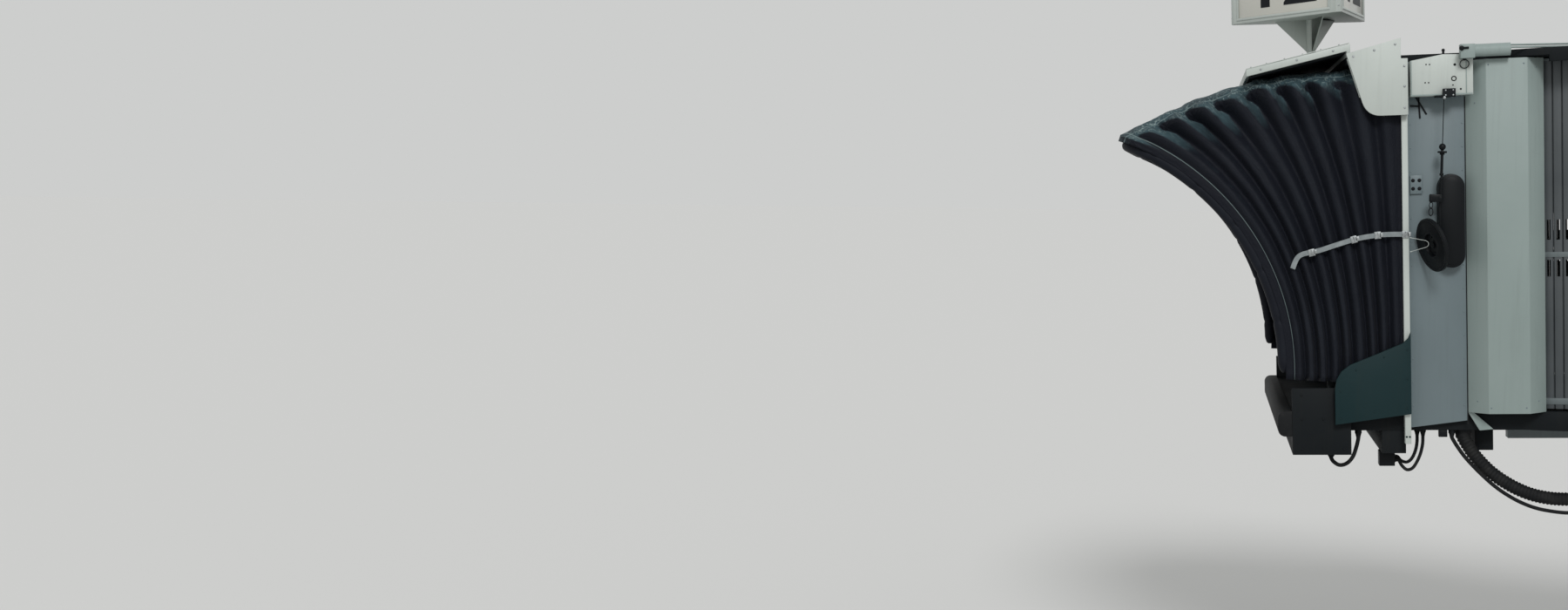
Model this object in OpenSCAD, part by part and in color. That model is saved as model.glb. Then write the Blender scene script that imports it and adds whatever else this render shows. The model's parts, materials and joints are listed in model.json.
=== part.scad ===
// Apron-drive jet bridge: rotunda, two telescoping tunnels, lift and drive, turning cab, canopy.
// Millimetres. +X runs from the terminal to the aircraft, +Y is the left side of a person walking
// out to the aircraft, +Z is up. The origin is the middle of the rotunda column on the ground.

/* [Site] */
// Height of the rotunda floor above the ground
rotunda_floor_z = 4150; // [3900:10:4500]
// Downward slope of the tunnels and the cab, in degrees
pitch = 2.35; // [1.8:0.05:2.8]

/* [Rotunda] */
// Outer diameter of the rotunda column
column_d = 900; // [800:10:1000]
// Wall of the rotunda column
column_wall = 16; // [10:1:30]
// Width of the square base plate
base_w = 1400; // [1360:10:1600]
// Thickness of the base plate
base_t = 50; // [30:5:80]
// Circle of the anchor bolts
anchor_pcd = 1200; // [1180:10:1260]
// Hole for one anchor bolt
anchor_d = 40; // [30:1:44]
// Number of anchor bolts
anchor_count = 8; // [6:2:10]
// Radius of the rotunda floor
rotunda_r = 1850; // [1800:10:1950]
// Depth of the rotunda floor
rotunda_floor_t = 260; // [220:10:320]
// Clear height inside the rotunda
rotunda_clear = 2500; // [2450:10:2600]
// Depth of the rotunda roof
rotunda_roof_t = 110; // [80:5:150]
// Overhang of the rotunda roof past its floor
rotunda_eave = 120; // [80:5:200]
// Thickness of the slatted rotunda curtains
rotunda_curtain_t = 24; // [16:1:34]
// Outer width of the two rotunda portals
portal_w = 2440; // [2420:10:2500]
// Depth of a portal along the bridge
portal_depth = 200; // [160:10:260]
// Width of a portal post
portal_post = 130; // [110:5:160]

/* [Tunnel A] */
// Outer width of the inner tunnel
a_w = 2260; // [2160:10:2280]
// Clear height of the inner tunnel
a_clear = 2180; // [2100:10:2200]
// Length of the inner tunnel
a_len = 7200; // [6800:50:7400]
// Depth of the inner tunnel's floor
a_floor_t = 90; // [70:5:95]
// Step of the inner tunnel's floor above the outer one
a_rise = 150; // [140:5:170]
// Wall of the inner tunnel
a_wall_t = 50; // [40:2:60]
// Depth of the inner tunnel's roof
a_roof_t = 60; // [40:5:70]
// How far the ribs of the inner tunnel stand out
a_rib = 35; // [20:5:45]

/* [Tunnel B] */
// Start of the outer tunnel, measured along the inner one
b_start = 4700; // [4500:50:5000]
// Length of the outer tunnel
b_len = 7600; // [7300:50:7800]
// Gap between the two tunnels at the sides
b_side_gap = 90; // [70:5:120]
// Gap between the two tunnels at the top
b_top_gap = 80; // [60:5:120]
// Wall of the outer tunnel
b_wall_t = 60; // [50:5:80]
// How far the ribs of the outer tunnel stand out
b_rib = 60; // [40:5:80]
// Plate of the outer tunnel's floor
b_floor_t = 50; // [40:5:70]
// Depth of the beams under the outer tunnel's floor
b_beam_d = 170; // [130:10:200]
// Depth of the outer tunnel's roof
b_roof_t = 70; // [50:5:90]
// Distance between the ribs of both tunnels
rib_pitch = 950; // [800:10:1100]
// Width of a rib
rib_w = 80; // [60:5:110]

/* [Lift and drive] */
// Distance from the cab's turning centre back to the lift columns
lift_back = 4500; // [4300:50:4700]
// Side of a lift column's outer tube
lift_outer_w = 340; // [300:10:380]
// Side of a lift column's inner tube
lift_inner_w = 250; // [220:10:270]
// Height of the outer tube above the tunnel floor
lift_up = 2200; // [1900:50:2400]
// Reach of the outer tube below the tunnel floor
lift_down = 900; // [700:50:1100]
// Height of the drive beam's middle above the ground
beam_z = 1400; // [1350:10:1500]
// Side of the square drive beam
beam_w = 360; // [320:10:400]
// Diameter of a drive wheel
wheel_d = 1100; // [1000:10:1150]
// Width of a tyre
tyre_w = 400; // [340:10:440]
// Distance between the middles of the two wheels
wheel_track = 1300; // [1240:10:1400]

/* [Cab] */
// Distance from tunnel B to the turning centre
bubble_back = 1190; // [1180:5:1240]
// Distance from the turning centre to the front frame
cab_front = 1650; // [1600:10:1700]
// How far the round floor stands out past the side walls
ring_out = 100; // [80:5:105]
// Depth of the cab floor
cab_floor_t = 160; // [130:5:190]
// Height from the cab floor to the underside of its roof
cab_clear = 2990; // [2900:10:3050]
// How far the slatted curtains stand out past the side walls
curtain_out = 32; // [0:2:50]
// Thickness of the slatted curtains
curtain_t = 24; // [16:1:34]
// How far the round roof stands out past the side walls
roof_out = 300; // [250:10:350]
// Thickness of the cab roof
roof_t = 60; // [40:5:70]
// Depth of the rim around the rear of the round roof
rim_d = 115; // [90:5:130]
// Width over the flat side walls
cab_w = 3200; // [3160:10:3240]
// Thickness of a side wall
cab_wall_t = 60; // [40:5:80]
// How far the curtain housings stand out past the side walls
housing_out = 150; // [120:5:180]
// Length of a side wall, from the front frame to the curtain housing
panel_len = 470; // [440:5:500]
// Length of a curtain housing
housing_len = 630; // [600:5:640]
// Width of a curtain housing across the cab
housing_w = 520; // [460:10:560]
// Sheet of a curtain housing
housing_t = 25; // [15:1:35]

/* [Cab front] */
// Side of a front post along the bridge
post_d = 50; // [40:5:60]
// Height of the fascia boxes over the side walls
fascia_h = 360; // [320:10:380]
// Thickness of the shields and guards
plate_t = 30; // [20:1:36]
// Length of the shields
shield_len = 500; // [480:10:520]
// Bottom of the shields above the cab floor
shield_z = 2540; // [2480:10:2600]
// Height of the shields at the front frame
shield_h = 650; // [620:10:680]
// Reach of the front platform past the front frame
platform_reach = 980; // [940:10:1000]
// Depth of the front platform
platform_d = 360; // [320:10:400]
// Height of the curbs on the front platform
curb_h = 220; // [180:10:240]
// Reach of the bumper past the front platform
bumper_d = 120; // [100:5:130]
// Length of the hood roof
hood_len = 830; // [800:5:850]
// Thickness of the hood roof
hood_t = 60; // [40:5:70]
// Rise of the hood's rear end over the cab roof
hood_rise = 110; // [105:1:125]
// Downward slope of the hood roof, in degrees
hood_slope = 12.2; // [11.6:0.1:12.4]

/* [Gate sign] */
// Side of the three-sided sign
sign_side = 1350; // [1200:10:1450]
// Height of the sign
sign_h = 850; // [700:10:950]
// Width cut off each corner of the sign
sign_corner = 100; // [60:5:140]
// Turn of the sign's near corner to the rear, in degrees
sign_turn = 16; // [0:1:30]
// Bottom of the sign above the cab floor
sign_z = 3520; // [3460:10:3600]
// Distance of the sign's post from the front frame
sign_x = 680; // [640:10:740]
// Diameter of the sign's post
sign_post_d = 80; // [60:5:100]
// Height of the fins under the sign
fin_h = 300; // [260:10:320]
// Reach of the fins under the sign
fin_reach = 330; // [280:10:380]

/* [Canopy] */
// Radius of the aircraft skin that the canopy meets
skin_r = 2080; // [2060:5:2100]
// Height of the middle of that skin above the cab floor
skin_z = 400; // [390:1:410]
// Radius of the foam pads
pad_r = 55; // [45:1:60]
// Radius of the hoop's top corners
hoop_corner = 230; // [200:10:280]
// Radius of the hoop's tube
hoop_r = 20; // [15:1:24]
// Half width of the canopy fabric
canopy_half = 1640; // [1630:1:1642]
// Thickness of the canopy's fabric wall
fabric_t = 30; // [22:1:32]
// Number of pleats
pleats = 9; // [7:1:11]
// Depth of a pleat, from its middle to its fold
pleat_a = 24; // [12:1:26]
// Radius of the shoulders of the canopy
shoulder_r = 260; // [220:10:300]
// Height of the bottom of the fabric above the cab floor
fabric_z = 300; // [290:2:320]
// Distance of the canopy's pivot from the front frame
pivot_x = 620; // [600:5:660]
// Height of the canopy's pivot above the cab floor
pivot_z = 360; // [350:5:380]
// Diameter of the canopy's pivot pins
pin_d = 40; // [30:1:50]

/* [Hidden] */
$fn = 64;

// Clearances
fit = 0.3;           // pieces of two bodies that meet, and soft pieces at their seats
running = 15;        // between the turning floor and the tunnel floor

// Rotunda
rotunda_curtain_r = rotunda_r - 10;
portal_in_x = sqrt(pow(rotunda_curtain_r, 2) - pow(portal_w / 2 - 10, 2));
portal_x = portal_in_x + portal_depth;
portal_hole_w = portal_w - 2 * portal_post;
head_t = 40;
head_d = column_d + 300;
gusset_h = 420;
gusset_t = 20;
face_bolt_d = 26;
face_bolt_in = 65;

// Tunnels, along and above the floor of the outer tunnel
a_x0 = a_floor_t * sin(pitch) + 6;
a_x1 = a_x0 + a_len;
a_bottom = a_rise - a_floor_t;
a_ceiling = a_rise + a_clear;
a_top = a_ceiling + a_roof_t;
b_x1 = b_start + b_len;
b_in = a_w / 2 + b_side_gap;
b_out = b_in + b_wall_t;
b_ceiling = a_top + b_top_gap;
b_top = b_ceiling + b_roof_t;
bubble_x = b_x1 + bubble_back;
cab_x = bubble_x + cab_front;
ramp_len = 1100;
ramp_w = a_w - 2 * a_wall_t - 40;
front_frame_d = 140;
rear_frame_d = 160;

// Lift columns and drive
lift_x = bubble_x - lift_back;
lift_gap = 30;
lift_y = b_out + b_rib + lift_gap + lift_outer_w / 2;
lift_wall = 12;
beam_top = beam_z + beam_w / 2;
beam_bottom = beam_z - beam_w / 2;
foot_z = a_rise + (beam_top - rotunda_floor_z + lift_x * sin(pitch)) / cos(pitch);
beam_x = portal_x + lift_x * cos(pitch) + (foot_z - a_rise) * sin(pitch);
beam_half = lift_y + lift_outer_w / 2;
saddle_w = 440;
swivel_h = 100;
swivel_d = 520;
yoke_w = 520;
yoke_t = 90;
cheek_y = wheel_track / 2 - tyre_w / 2 - 120;
hub_d = 420;

// Cab
wall_y = cab_w / 2;
ring_r = wall_y + ring_out;
curtain_r = wall_y + curtain_out;
roof_r = wall_y + roof_out;
housing_y = wall_y + housing_out;
housing_x = -panel_len - housing_len;
roof_top = cab_clear + roof_t;
rim_t = 40;
fascia_z0 = roof_top - fascia_h;
curtain_foot = 8;
slew_r = 900;
slew_t = 60;
slew_beam_y = 480;

// Cab front
post_y0 = wall_y - 40;
post_y1 = wall_y + 80;
guard_y = wall_y + 90;
platform_half = wall_y + 40;
hood_x0 = shield_len - 10;
hood_z0 = roof_top + hood_rise;
hood_top = function(x) hood_z0 - (x - hood_x0) * tan(hood_slope);

// Canopy
skin_x = platform_reach + bumper_d + skin_r;
pad_line = skin_r + pad_r + 5;
hoop_line = pad_line + pad_r + hoop_r + fit;
fabric_line = hoop_line - hoop_r + 15;
hoop_y = canopy_half - 72;
arc_low = -1.2;
arc_high = 69.5;
crown = 15;
bulge = 200;
fabric_top = cab_clear - 65;
fabric_x0 = post_d + fit;
hinge_lug_t = 35;
arm_t = 30;
arm_w = 90;

// Cord routes in the cab's frame, chosen by hand
gland_h = 25;
hose_r = 58;
hose_route = [
    [-450, 1430, -185], [-450, 1430, -230], [-550, 1430, -400], [-700, 1425, -560],
    [-900, 1410, -690], [-1100, 1390, -760], [-1330, 1360, -780], [-1560, 1330, -740],
    [-1760, 1290, -640], [-1920, 1260, -490], [-2020, 1240, -330], [-2040, 1230, -240],
    [-2040, 1230, -185]
];
cable_r = 16;
cable_route = [
    [-350, 1500, -185], [-350, 1500, -225], [-390, 1495, -300], [-450, 1490, -390],
    [-525, 1480, -480], [-610, 1470, -570], [-700, 1465, -655], [-800, 1460, -730],
    [-910, 1450, -795], [-1030, 1440, -845], [-1160, 1430, -875], [-1290, 1420, -890],
    [-1420, 1410, -885], [-1550, 1400, -860], [-1670, 1385, -820], [-1780, 1370, -760],
    [-1880, 1355, -685], [-1965, 1340, -595], [-2035, 1330, -495], [-2085, 1320, -390],
    [-2115, 1310, -285], [-2120, 1310, -230], [-2120, 1310, -185]
];
front_cable_r = 17;
front_cable_route = [
    [420, 1480, -185], [420, 1480, -235], [440, 1480, -320], [470, 1480, -400],
    [520, 1480, -455], [580, 1480, -470], [630, 1480, -440], [650, 1480, -405],
    [650, 1480, -385]
];
loop_r = 14;
loop_long_route = [
    [110, 1360, -440], [80, 1360, -440], [50, 1365, -490], [10, 1375, -525], [-35, 1390, -510],
    [-70, 1405, -455], [-100, 1415, -380], [-118, 1420, -300], [-122, 1420, -230],
    [-122, 1420, -185]
];
loop_short_route = [
    [110, 1300, -420], [80, 1300, -420], [50, 1305, -455], [5, 1330, -465], [-35, 1350, -430],
    [-65, 1360, -360], [-78, 1365, -290], [-80, 1365, -230], [-80, 1365, -185]
];
strap_route = [
    [10, 1530], [250, 1530], [420, 1505], [740, 1410], [900, 1370], [960, 1260]
];
strap_w = 42;
strap_t = 6;

// Frames of reference and shared shapes

module bridge_frame() {
    translate([portal_x, 0, rotunda_floor_z]) rotate([0, pitch, 0]) translate([0, 0, -a_rise])
        children();
}

module bubble_frame() {
    bridge_frame() translate([bubble_x, 0, 0]) children();
}

module cab_frame() {
    bridge_frame() translate([cab_x, 0, 0]) children();
}

module both_sides() {
    children();
    mirror([0, 1, 0]) children();
}

module on_side(side) {
    if (side > 0) children();
    else mirror([0, 1, 0]) children();
}

module block(x0, x1, y0, y1, z0, z1) {
    translate([x0, y0, z0]) cube([x1 - x0, y1 - y0, z1 - z0]);
}

// A side outline in x and z, given thickness from y0 to y1
module side_plate(y0, y1) {
    translate([0, y1, 0]) rotate([90, 0, 0]) linear_extrude(y1 - y0) children();
}

function unit(v) = v / norm(v);

// Direction of a route at point i
function heading(p, i) = unit(p[min(i + 1, len(p) - 1)] - p[max(i - 1, 0)]);

// A vector square to each heading, turned as little as the route allows
function square_to(t, hint) = unit(hint - (hint * t) * t);

function ring(p, t, u, r, sides) = let(v = cross(t, u))
    [for (k = [0 : sides - 1]) let(a = 360 * k / sides) p + r * (cos(a) * u + sin(a) * v)];

function quad(a, b, c, d) = [[a, b, c], [a, c, d]];

function ring_faces(rings, sides) = concat(
    [[for (k = [0 : sides - 1]) k]],
    [for (i = [0 : rings - 2], k = [0 : sides - 1]) let(n = (k + 1) % sides)
        each quad(i * sides + k, (i + 1) * sides + k, (i + 1) * sides + n, i * sides + n)],
    [[for (k = [sides - 1 : -1 : 0]) (rings - 1) * sides + k]]
);

// A round tube along a route; hint is any vector that the route never runs along
module tube(route, r, sides, hint) {
    points = [for (i = [0 : len(route) - 1]) let(t = heading(route, i))
        each ring(route[i], t, square_to(t, hint), r, sides)];
    polyhedron(points, ring_faces(len(route), sides), convexity = 6);
}

// Rotunda

module anchor_holes() {
    for (i = [0 : anchor_count - 1])
        rotate([0, 0, 360 * (i + 0.5) / anchor_count]) translate([anchor_pcd / 2, 0, -1])
            cylinder(d = anchor_d, h = base_t + 2);
}

module base_gusset() {
    reach = (base_w - column_d) / 2 - 60;
    translate([column_d / 2 - 2, gusset_t / 2, base_t]) rotate([90, 0, 0])
        linear_extrude(gusset_t) polygon([[0, 0], [reach, 0], [reach, 30], [0, gusset_h]]);
}

module rotunda_column() {
    tube_h = rotunda_floor_z - rotunda_floor_t - head_t - base_t;
    color("lightgray") union() {
        difference() {
            translate([-base_w / 2, -base_w / 2, 0]) cube([base_w, base_w, base_t]);
            anchor_holes();
        }
        translate([0, 0, base_t]) difference() {
            cylinder(d = column_d, h = tube_h);
            translate([0, 0, -1]) cylinder(d = column_d - 2 * column_wall, h = tube_h + 2);
        }
        for (i = [0 : anchor_count - 1]) rotate([0, 0, 360 * i / anchor_count]) base_gusset();
        translate([0, 0, base_t + tube_h]) cylinder(d = head_d, h = head_t);
    }
}

module rotunda_floor() {
    color("gray") translate([0, 0, rotunda_floor_z - rotunda_floor_t]) intersection() {
        union() {
            cylinder(r = rotunda_r, h = rotunda_floor_t);
            block(-portal_x, portal_x, -portal_w / 2, portal_w / 2, 0, rotunda_floor_t);
        }
        block(-portal_x, portal_x, -2 * rotunda_r, 2 * rotunda_r, 0, rotunda_floor_t);
    }
}

module rotunda_roof() {
    color("lightgray") translate([0, 0, rotunda_floor_z + rotunda_clear]) union() {
        cylinder(r = rotunda_r + rotunda_eave, h = rotunda_roof_t);
        translate([0, 0, rotunda_roof_t]) cylinder(r1 = rotunda_r, r2 = 300, h = 120);
        block(-portal_x, portal_x, -portal_w / 2, portal_w / 2, 0, rotunda_roof_t);
    }
}

module rotunda_curtains() {
    color("darkslategray") translate([0, 0, rotunda_floor_z]) both_sides() intersection() {
        difference() {
            cylinder(r = rotunda_curtain_r, h = rotunda_clear);
            translate([0, 0, -1])
                cylinder(r = rotunda_curtain_r - rotunda_curtain_t, h = rotunda_clear + 2);
        }
        block(-portal_in_x, portal_in_x, 0, rotunda_r, 0, rotunda_clear);
    }
}

module portal() {
    difference() {
        block(portal_in_x, portal_x, -portal_w / 2, portal_w / 2, 0, rotunda_clear);
        block(portal_in_x - 1, portal_x + 1, -portal_hole_w / 2, portal_hole_w / 2,
            -1, rotunda_clear - portal_post);
    }
}

module terminal_frame() {
    bolt_y = portal_w / 2 - face_bolt_in;
    color("silver") translate([0, 0, rotunda_floor_z]) rotate([0, 0, 180]) difference() {
        portal();
        for (side = [-1, 1], z = [300, rotunda_clear - face_bolt_in])
            translate([portal_in_x - 1, side * bolt_y, z]) rotate([0, 90, 0])
                cylinder(d = face_bolt_d, h = portal_depth + 2);
    }
}

module tunnel_portal() {
    color("silver") translate([0, 0, rotunda_floor_z]) portal();
}

// The wedge between the upright portal and the sloping tunnel
module rotunda_gasket() {
    top = a_clear + a_roof_t;
    lean = a_x0 / cos(pitch);
    color("dimgray") translate([portal_x, 0, rotunda_floor_z]) difference() {
        side_plate(-a_w / 2, a_w / 2)
            polygon([[0, 0], [lean, 0], [lean + top * tan(pitch), top], [0, top]]);
        block(-1, 400, -a_w / 2 + a_wall_t, a_w / 2 - a_wall_t, -1, a_clear - 60);
    }
}

// Tunnel A

module tunnel_a_floor() {
    beam_d = 50;
    color("gray") bridge_frame() union() {
        block(a_x0, a_x1, -a_w / 2, a_w / 2, a_bottom + beam_d, a_rise);
        for (side = [-1, 1]) translate([0, side * (a_w / 2 - 100), 0])
            block(a_x0, a_x1, -100, 100, a_bottom, a_bottom + beam_d);
        for (x = [a_x0 : rib_pitch : a_x1 - rib_w])
            block(x, x + rib_w, -a_w / 2, a_w / 2, a_bottom, a_bottom + beam_d);
    }
}

module ribs(x0, x1, y0, y1, z0, z1) {
    count = floor((x1 - x0 - rib_w) / rib_pitch);
    step = (x1 - x0 - rib_w) / count;
    for (i = [0 : count]) block(x0 + i * step, x0 + i * step + rib_w, y0, y1, z0, z1);
}

module tunnel_a_wall(side) {
    y1 = a_w / 2;
    color("lightgray") bridge_frame() on_side(side) union() {
        block(a_x0, a_x1, y1 - a_wall_t, y1, a_rise, a_ceiling);
        ribs(a_x0, a_x1, y1 - 1, y1 + a_rib, a_rise + 10, a_ceiling - 10);
    }
}

module tunnel_a_roof() {
    color("lightgray") bridge_frame()
        block(a_x0, a_x1, -a_w / 2, a_w / 2, a_ceiling, a_top);
}

module floor_ramp() {
    color("dimgray") bridge_frame() side_plate(-ramp_w / 2, ramp_w / 2) polygon([
        [a_x1 + fit, a_rise], [a_x1 + fit, a_rise - 40], [a_x1 + ramp_len - 90, 0], [a_x1 + ramp_len, 0],
        [a_x1 + ramp_len, 2], [a_x1 + 60, a_rise]
    ]);
}

// Tunnel B

module tunnel_b_floor() {
    color("gray") difference() {
        bridge_frame() union() {
            block(b_start, b_x1, -b_out, b_out, -b_floor_t, 0);
            for (side = [-1, 1]) translate([0, side * (b_out - 70), 0])
                block(b_start, b_x1, -70, 70, -b_floor_t - b_beam_d, -b_floor_t);
            ribs(b_start, b_x1, -b_out, b_out, -b_floor_t - b_beam_d, -b_floor_t);
        }
        bubble_frame() translate([0, 0, -600]) cylinder(r = ring_r + running, h = 700);
    }
}

module tunnel_b_wall(side) {
    chord = 150;
    color("lightgray") bridge_frame() on_side(side) union() {
        block(b_start, b_x1, b_in, b_out, 0, b_ceiling);
        block(b_start, b_x1, b_out - 1, b_out + b_rib, 0, chord);
        block(b_start, b_x1, b_out - 1, b_out + b_rib, b_ceiling - chord, b_ceiling);
        ribs(b_start, b_x1, b_out - 1, b_out + b_rib, 0, b_ceiling);
        block(lift_x - saddle_w / 2, lift_x + saddle_w / 2, b_out - 1, b_out + b_rib,
            0, b_ceiling);
    }
}

module tunnel_b_roof() {
    color("lightgray") bridge_frame() union() {
        block(b_start, b_x1, -b_out, b_out, b_ceiling, b_top);
        ribs(b_start, b_x1, -b_out, b_out, b_top - 1, b_top + 35);
    }
}

module tunnel_b_rear_frame() {
    hole_y = a_w / 2 + a_rib + 15;
    color("silver") bridge_frame() difference() {
        block(b_start - rear_frame_d, b_start, -b_out - b_rib, b_out + b_rib,
            -b_floor_t - b_beam_d, b_top + 35);
        block(b_start - rear_frame_d - 1, b_start + 1, -hole_y, hole_y, 0, a_top + 20);
    }
}

// Blocks that carry one tunnel on the other
module tunnel_slides() {
    pad = 220;
    y = a_w / 2 - 100;
    color("black") bridge_frame() for (side = [-1, 1], x = [b_start + 60, a_x1 - pad - 60])
        block(x, x + pad, side * y - 60, side * y + 60, 0, a_bottom);
}

module tunnel_b_front_frame() {
    x1 = -bubble_back + front_frame_d;
    post_in = b_in - 100;
    post_out = b_out + b_rib;
    top = cab_clear - 30;
    color("silver") bubble_frame() difference() {
        block(-bubble_back, x1, -post_out, post_out, curtain_foot, top);
        block(-bubble_back - 1, x1 + 1, -post_in, post_in, curtain_foot - 1, b_ceiling);
    }
}

// Arms under the round floor and the bearing that it turns on
module slew_support() {
    arm_z1 = -cab_floor_t - slew_t - fit;
    arm_z0 = -b_floor_t - b_beam_d - 140;
    color("dimgray") bubble_frame() union() {
        for (side = [-1, 1]) translate([0, side * slew_beam_y, 0])
            block(-ring_r - running - 500, slew_r - 200, -70, 70, arm_z0, arm_z1);
        block(-ring_r - running - 500, -ring_r - running - 300, -b_out, b_out,
            arm_z0, -b_floor_t - b_beam_d);
        translate([0, 0, arm_z1]) difference() {
            cylinder(r = slew_r, h = slew_t);
            translate([0, 0, -1]) cylinder(r = slew_r - 140, h = slew_t + 2);
        }
    }
}

// Lift columns and drive

module square_tube(w, wall, z0, z1) {
    difference() {
        block(-w / 2, w / 2, -w / 2, w / 2, z0, z1);
        block(-w / 2 + wall, w / 2 - wall, -w / 2 + wall, w / 2 - wall, z0 - 1, z1 + 1);
    }
}

module lift_bracket(z) {
    y1 = -lift_outer_w / 2;
    block(-saddle_w / 2, saddle_w / 2, y1 - lift_gap, y1, z, z + 260);
}

module lift_column(side) {
    inner_top = 300;
    liner = (lift_outer_w - lift_inner_w) / 2;
    color("lightgray") difference() {
        bridge_frame() translate([lift_x, side * lift_y, 0]) on_side(side) union() {
            square_tube(lift_outer_w, lift_wall, -lift_down, lift_up);
            block(-lift_outer_w / 2 - 20, lift_outer_w / 2 + 20, -lift_outer_w / 2 + 1,
                lift_outer_w / 2 + 20, lift_up, lift_up + 20);
            lift_bracket(100);
            lift_bracket(lift_up - 500);
            square_tube(lift_inner_w, lift_wall, foot_z - 60, inner_top);
            for (z = [-lift_down, inner_top - 120])
                square_tube(lift_outer_w - 2 * lift_wall + 1, liner - lift_wall + 1, z, z + 120);
        }
        block(beam_x - 500, beam_x + 500, -2500, 2500, beam_top - 400, beam_top);
    }
}

module drive_beam() {
    color("gray") translate([beam_x, 0, 0]) difference() {
        union() {
            block(-beam_w / 2, beam_w / 2, -beam_half, beam_half, beam_bottom, beam_top);
            for (side = [-1, 1]) translate([0, side * lift_y, 0])
                block(-beam_w / 2 - 30, beam_w / 2 + 30, -lift_outer_w / 2, lift_outer_w / 2,
                    beam_top - 30, beam_top);
        }
        block(-beam_w / 2 + 16, beam_w / 2 - 16, -beam_half + 16, beam_half - 16,
            beam_bottom + 16, beam_top - 16);
    }
}

module wheel_bogie() {
    yoke_z = beam_bottom - swivel_h;
    axle_z = wheel_d / 2;
    color("dimgray") translate([beam_x, 0, 0]) union() {
        translate([0, 0, yoke_z]) cylinder(d = swivel_d, h = swivel_h);
        block(-yoke_w / 2, yoke_w / 2, -cheek_y - 60, cheek_y + 60, yoke_z - yoke_t, yoke_z);
        for (side = [-1, 1]) translate([0, side * cheek_y, 0]) side_plate(-35, 35) union() {
            translate([-110, axle_z]) square([220, yoke_z - yoke_t - axle_z + 1]);
            translate([0, axle_z]) circle(r = 150);
        }
        translate([0, 0, axle_z]) rotate([90, 0, 0])
            cylinder(d = 130, h = wheel_track + tyre_w - 40, center = true);
    }
}

module tyre() {
    r = wheel_d / 2;
    shoulder = 70;
    rotate([90, 0, 0]) rotate_extrude() difference() {
        union() {
            translate([hub_d / 2, -tyre_w / 2 + 20]) square([r - shoulder - hub_d / 2,
                tyre_w - 40]);
            translate([hub_d / 2 + 60, -tyre_w / 2]) square([r - shoulder - hub_d / 2 - 60,
                tyre_w]);
            translate([r - shoulder, -tyre_w / 2 + shoulder]) square([shoulder,
                tyre_w - 2 * shoulder]);
            for (end = [-1, 1]) translate([r - shoulder, end * (tyre_w / 2 - shoulder)])
                circle(r = shoulder);
        }
    }
}

module drive_wheels() {
    color("black") translate([beam_x, 0, wheel_d / 2]) for (side = [-1, 1])
        translate([0, side * wheel_track / 2, 0]) union() {
            tyre();
            rotate([90, 0, 0]) difference() {
                cylinder(d = hub_d + 2, h = tyre_w - 120, center = true);
                cylinder(d = 130, h = tyre_w, center = true);
            }
        }
}

// Slatted curtains between the tunnel and the turning cab

module bubble_curtain(side) {
    foot = curtain_foot;
    color("darkslategray") bubble_frame() on_side(side) intersection() {
        difference() {
            translate([0, 0, foot]) cylinder(r = curtain_r, h = cab_clear - foot - 15);
            cylinder(r = curtain_r - curtain_t, h = cab_clear);
        }
        block(-bubble_back + front_frame_d + fit, cab_front + housing_x - fit, 0, ring_r,
            0, cab_clear);
    }
}

// Cab

module cab_floor() {
    half = wall_y - cab_wall_t;
    color("gray") cab_frame() union() {
        translate([-cab_front, 0, -cab_floor_t]) cylinder(r = ring_r, h = cab_floor_t);
        block(-cab_front, hood_x0, -half, half, -cab_floor_t, 0);
        both_sides() translate([0, half, 0]) side_plate(-plate_t, 0)
            polygon([[-panel_len, -cab_floor_t], [-panel_len, 0],
                [-panel_len - 210, -cab_floor_t]]);
    }
}

module cab_wall(side) {
    color("lightgray") cab_frame() on_side(side) side_plate(wall_y - cab_wall_t, wall_y)
        polygon([[-panel_len, -70], [0, -130], [0, cab_clear], [-panel_len, cab_clear]]);
}

module cab_roof() {
    color("gainsboro") cab_frame() union() {
        translate([-cab_front, 0, cab_clear]) cylinder(r = roof_r, h = roof_t);
        block(-cab_front, hood_x0, -wall_y, wall_y, cab_clear, roof_top);
        translate([-cab_front, 0, roof_top - rim_d]) intersection() {
            difference() {
                cylinder(r = roof_r, h = rim_d);
                translate([0, 0, -1]) cylinder(r = roof_r - rim_t, h = rim_d + 2);
            }
            block(-2 * roof_r, cab_front + housing_x - 10, -2 * roof_r, 2 * roof_r, 0, rim_d);
        }
    }
}

module fascia_boxes() {
    y1 = housing_y;
    rear = -panel_len - 50;
    slope_x = -280;
    color("gainsboro") cab_frame() both_sides() union() {
        side_plate(y1 - plate_t, y1) polygon([[-20, fascia_z0], [rear, fascia_z0],
            [rear, roof_top - 25], [slope_x, roof_top - 16], [-20, roof_top - 60]]);
        side_plate(wall_y, y1 - plate_t + 1) polygon([[-20, fascia_z0], [-panel_len, fascia_z0],
            [-panel_len, cab_clear], [-20, cab_clear]]);
    }
}

module housing_outline() {
    c = housing_out;
    polygon([[0, 0], [c, c], [housing_len - c, c], [housing_len, 0],
        [housing_len, -housing_w + c], [0, -housing_w + c]]);
}

module housing_core() {
    c = housing_out;
    t = housing_t;
    k = t * 0.41;
    polygon([[t, -k], [c + k, c - t], [housing_len - c - k, c - t], [housing_len - t, -k],
        [housing_len - t, -housing_w + c + t], [t, -housing_w + c + t]]);
}

module curtain_housings() {
    h = cab_clear - 10;
    color("lightgray") cab_frame() both_sides() translate([housing_x, wall_y, 0]) difference() {
        linear_extrude(h) housing_outline();
        translate([0, 0, housing_t]) linear_extrude(h - 2 * housing_t) housing_core();
    }
}

module front_frame() {
    foot = 260;
    head = 140;
    color("gainsboro") cab_frame() union() {
        both_sides() block(0, post_d, post_y0, post_y1, 0, cab_clear);
        both_sides() block(0, post_d, wall_y, post_y1, -foot, 1);
        block(0, post_d, -post_y0, post_y0, cab_clear - head, cab_clear);
    }
}

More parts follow.
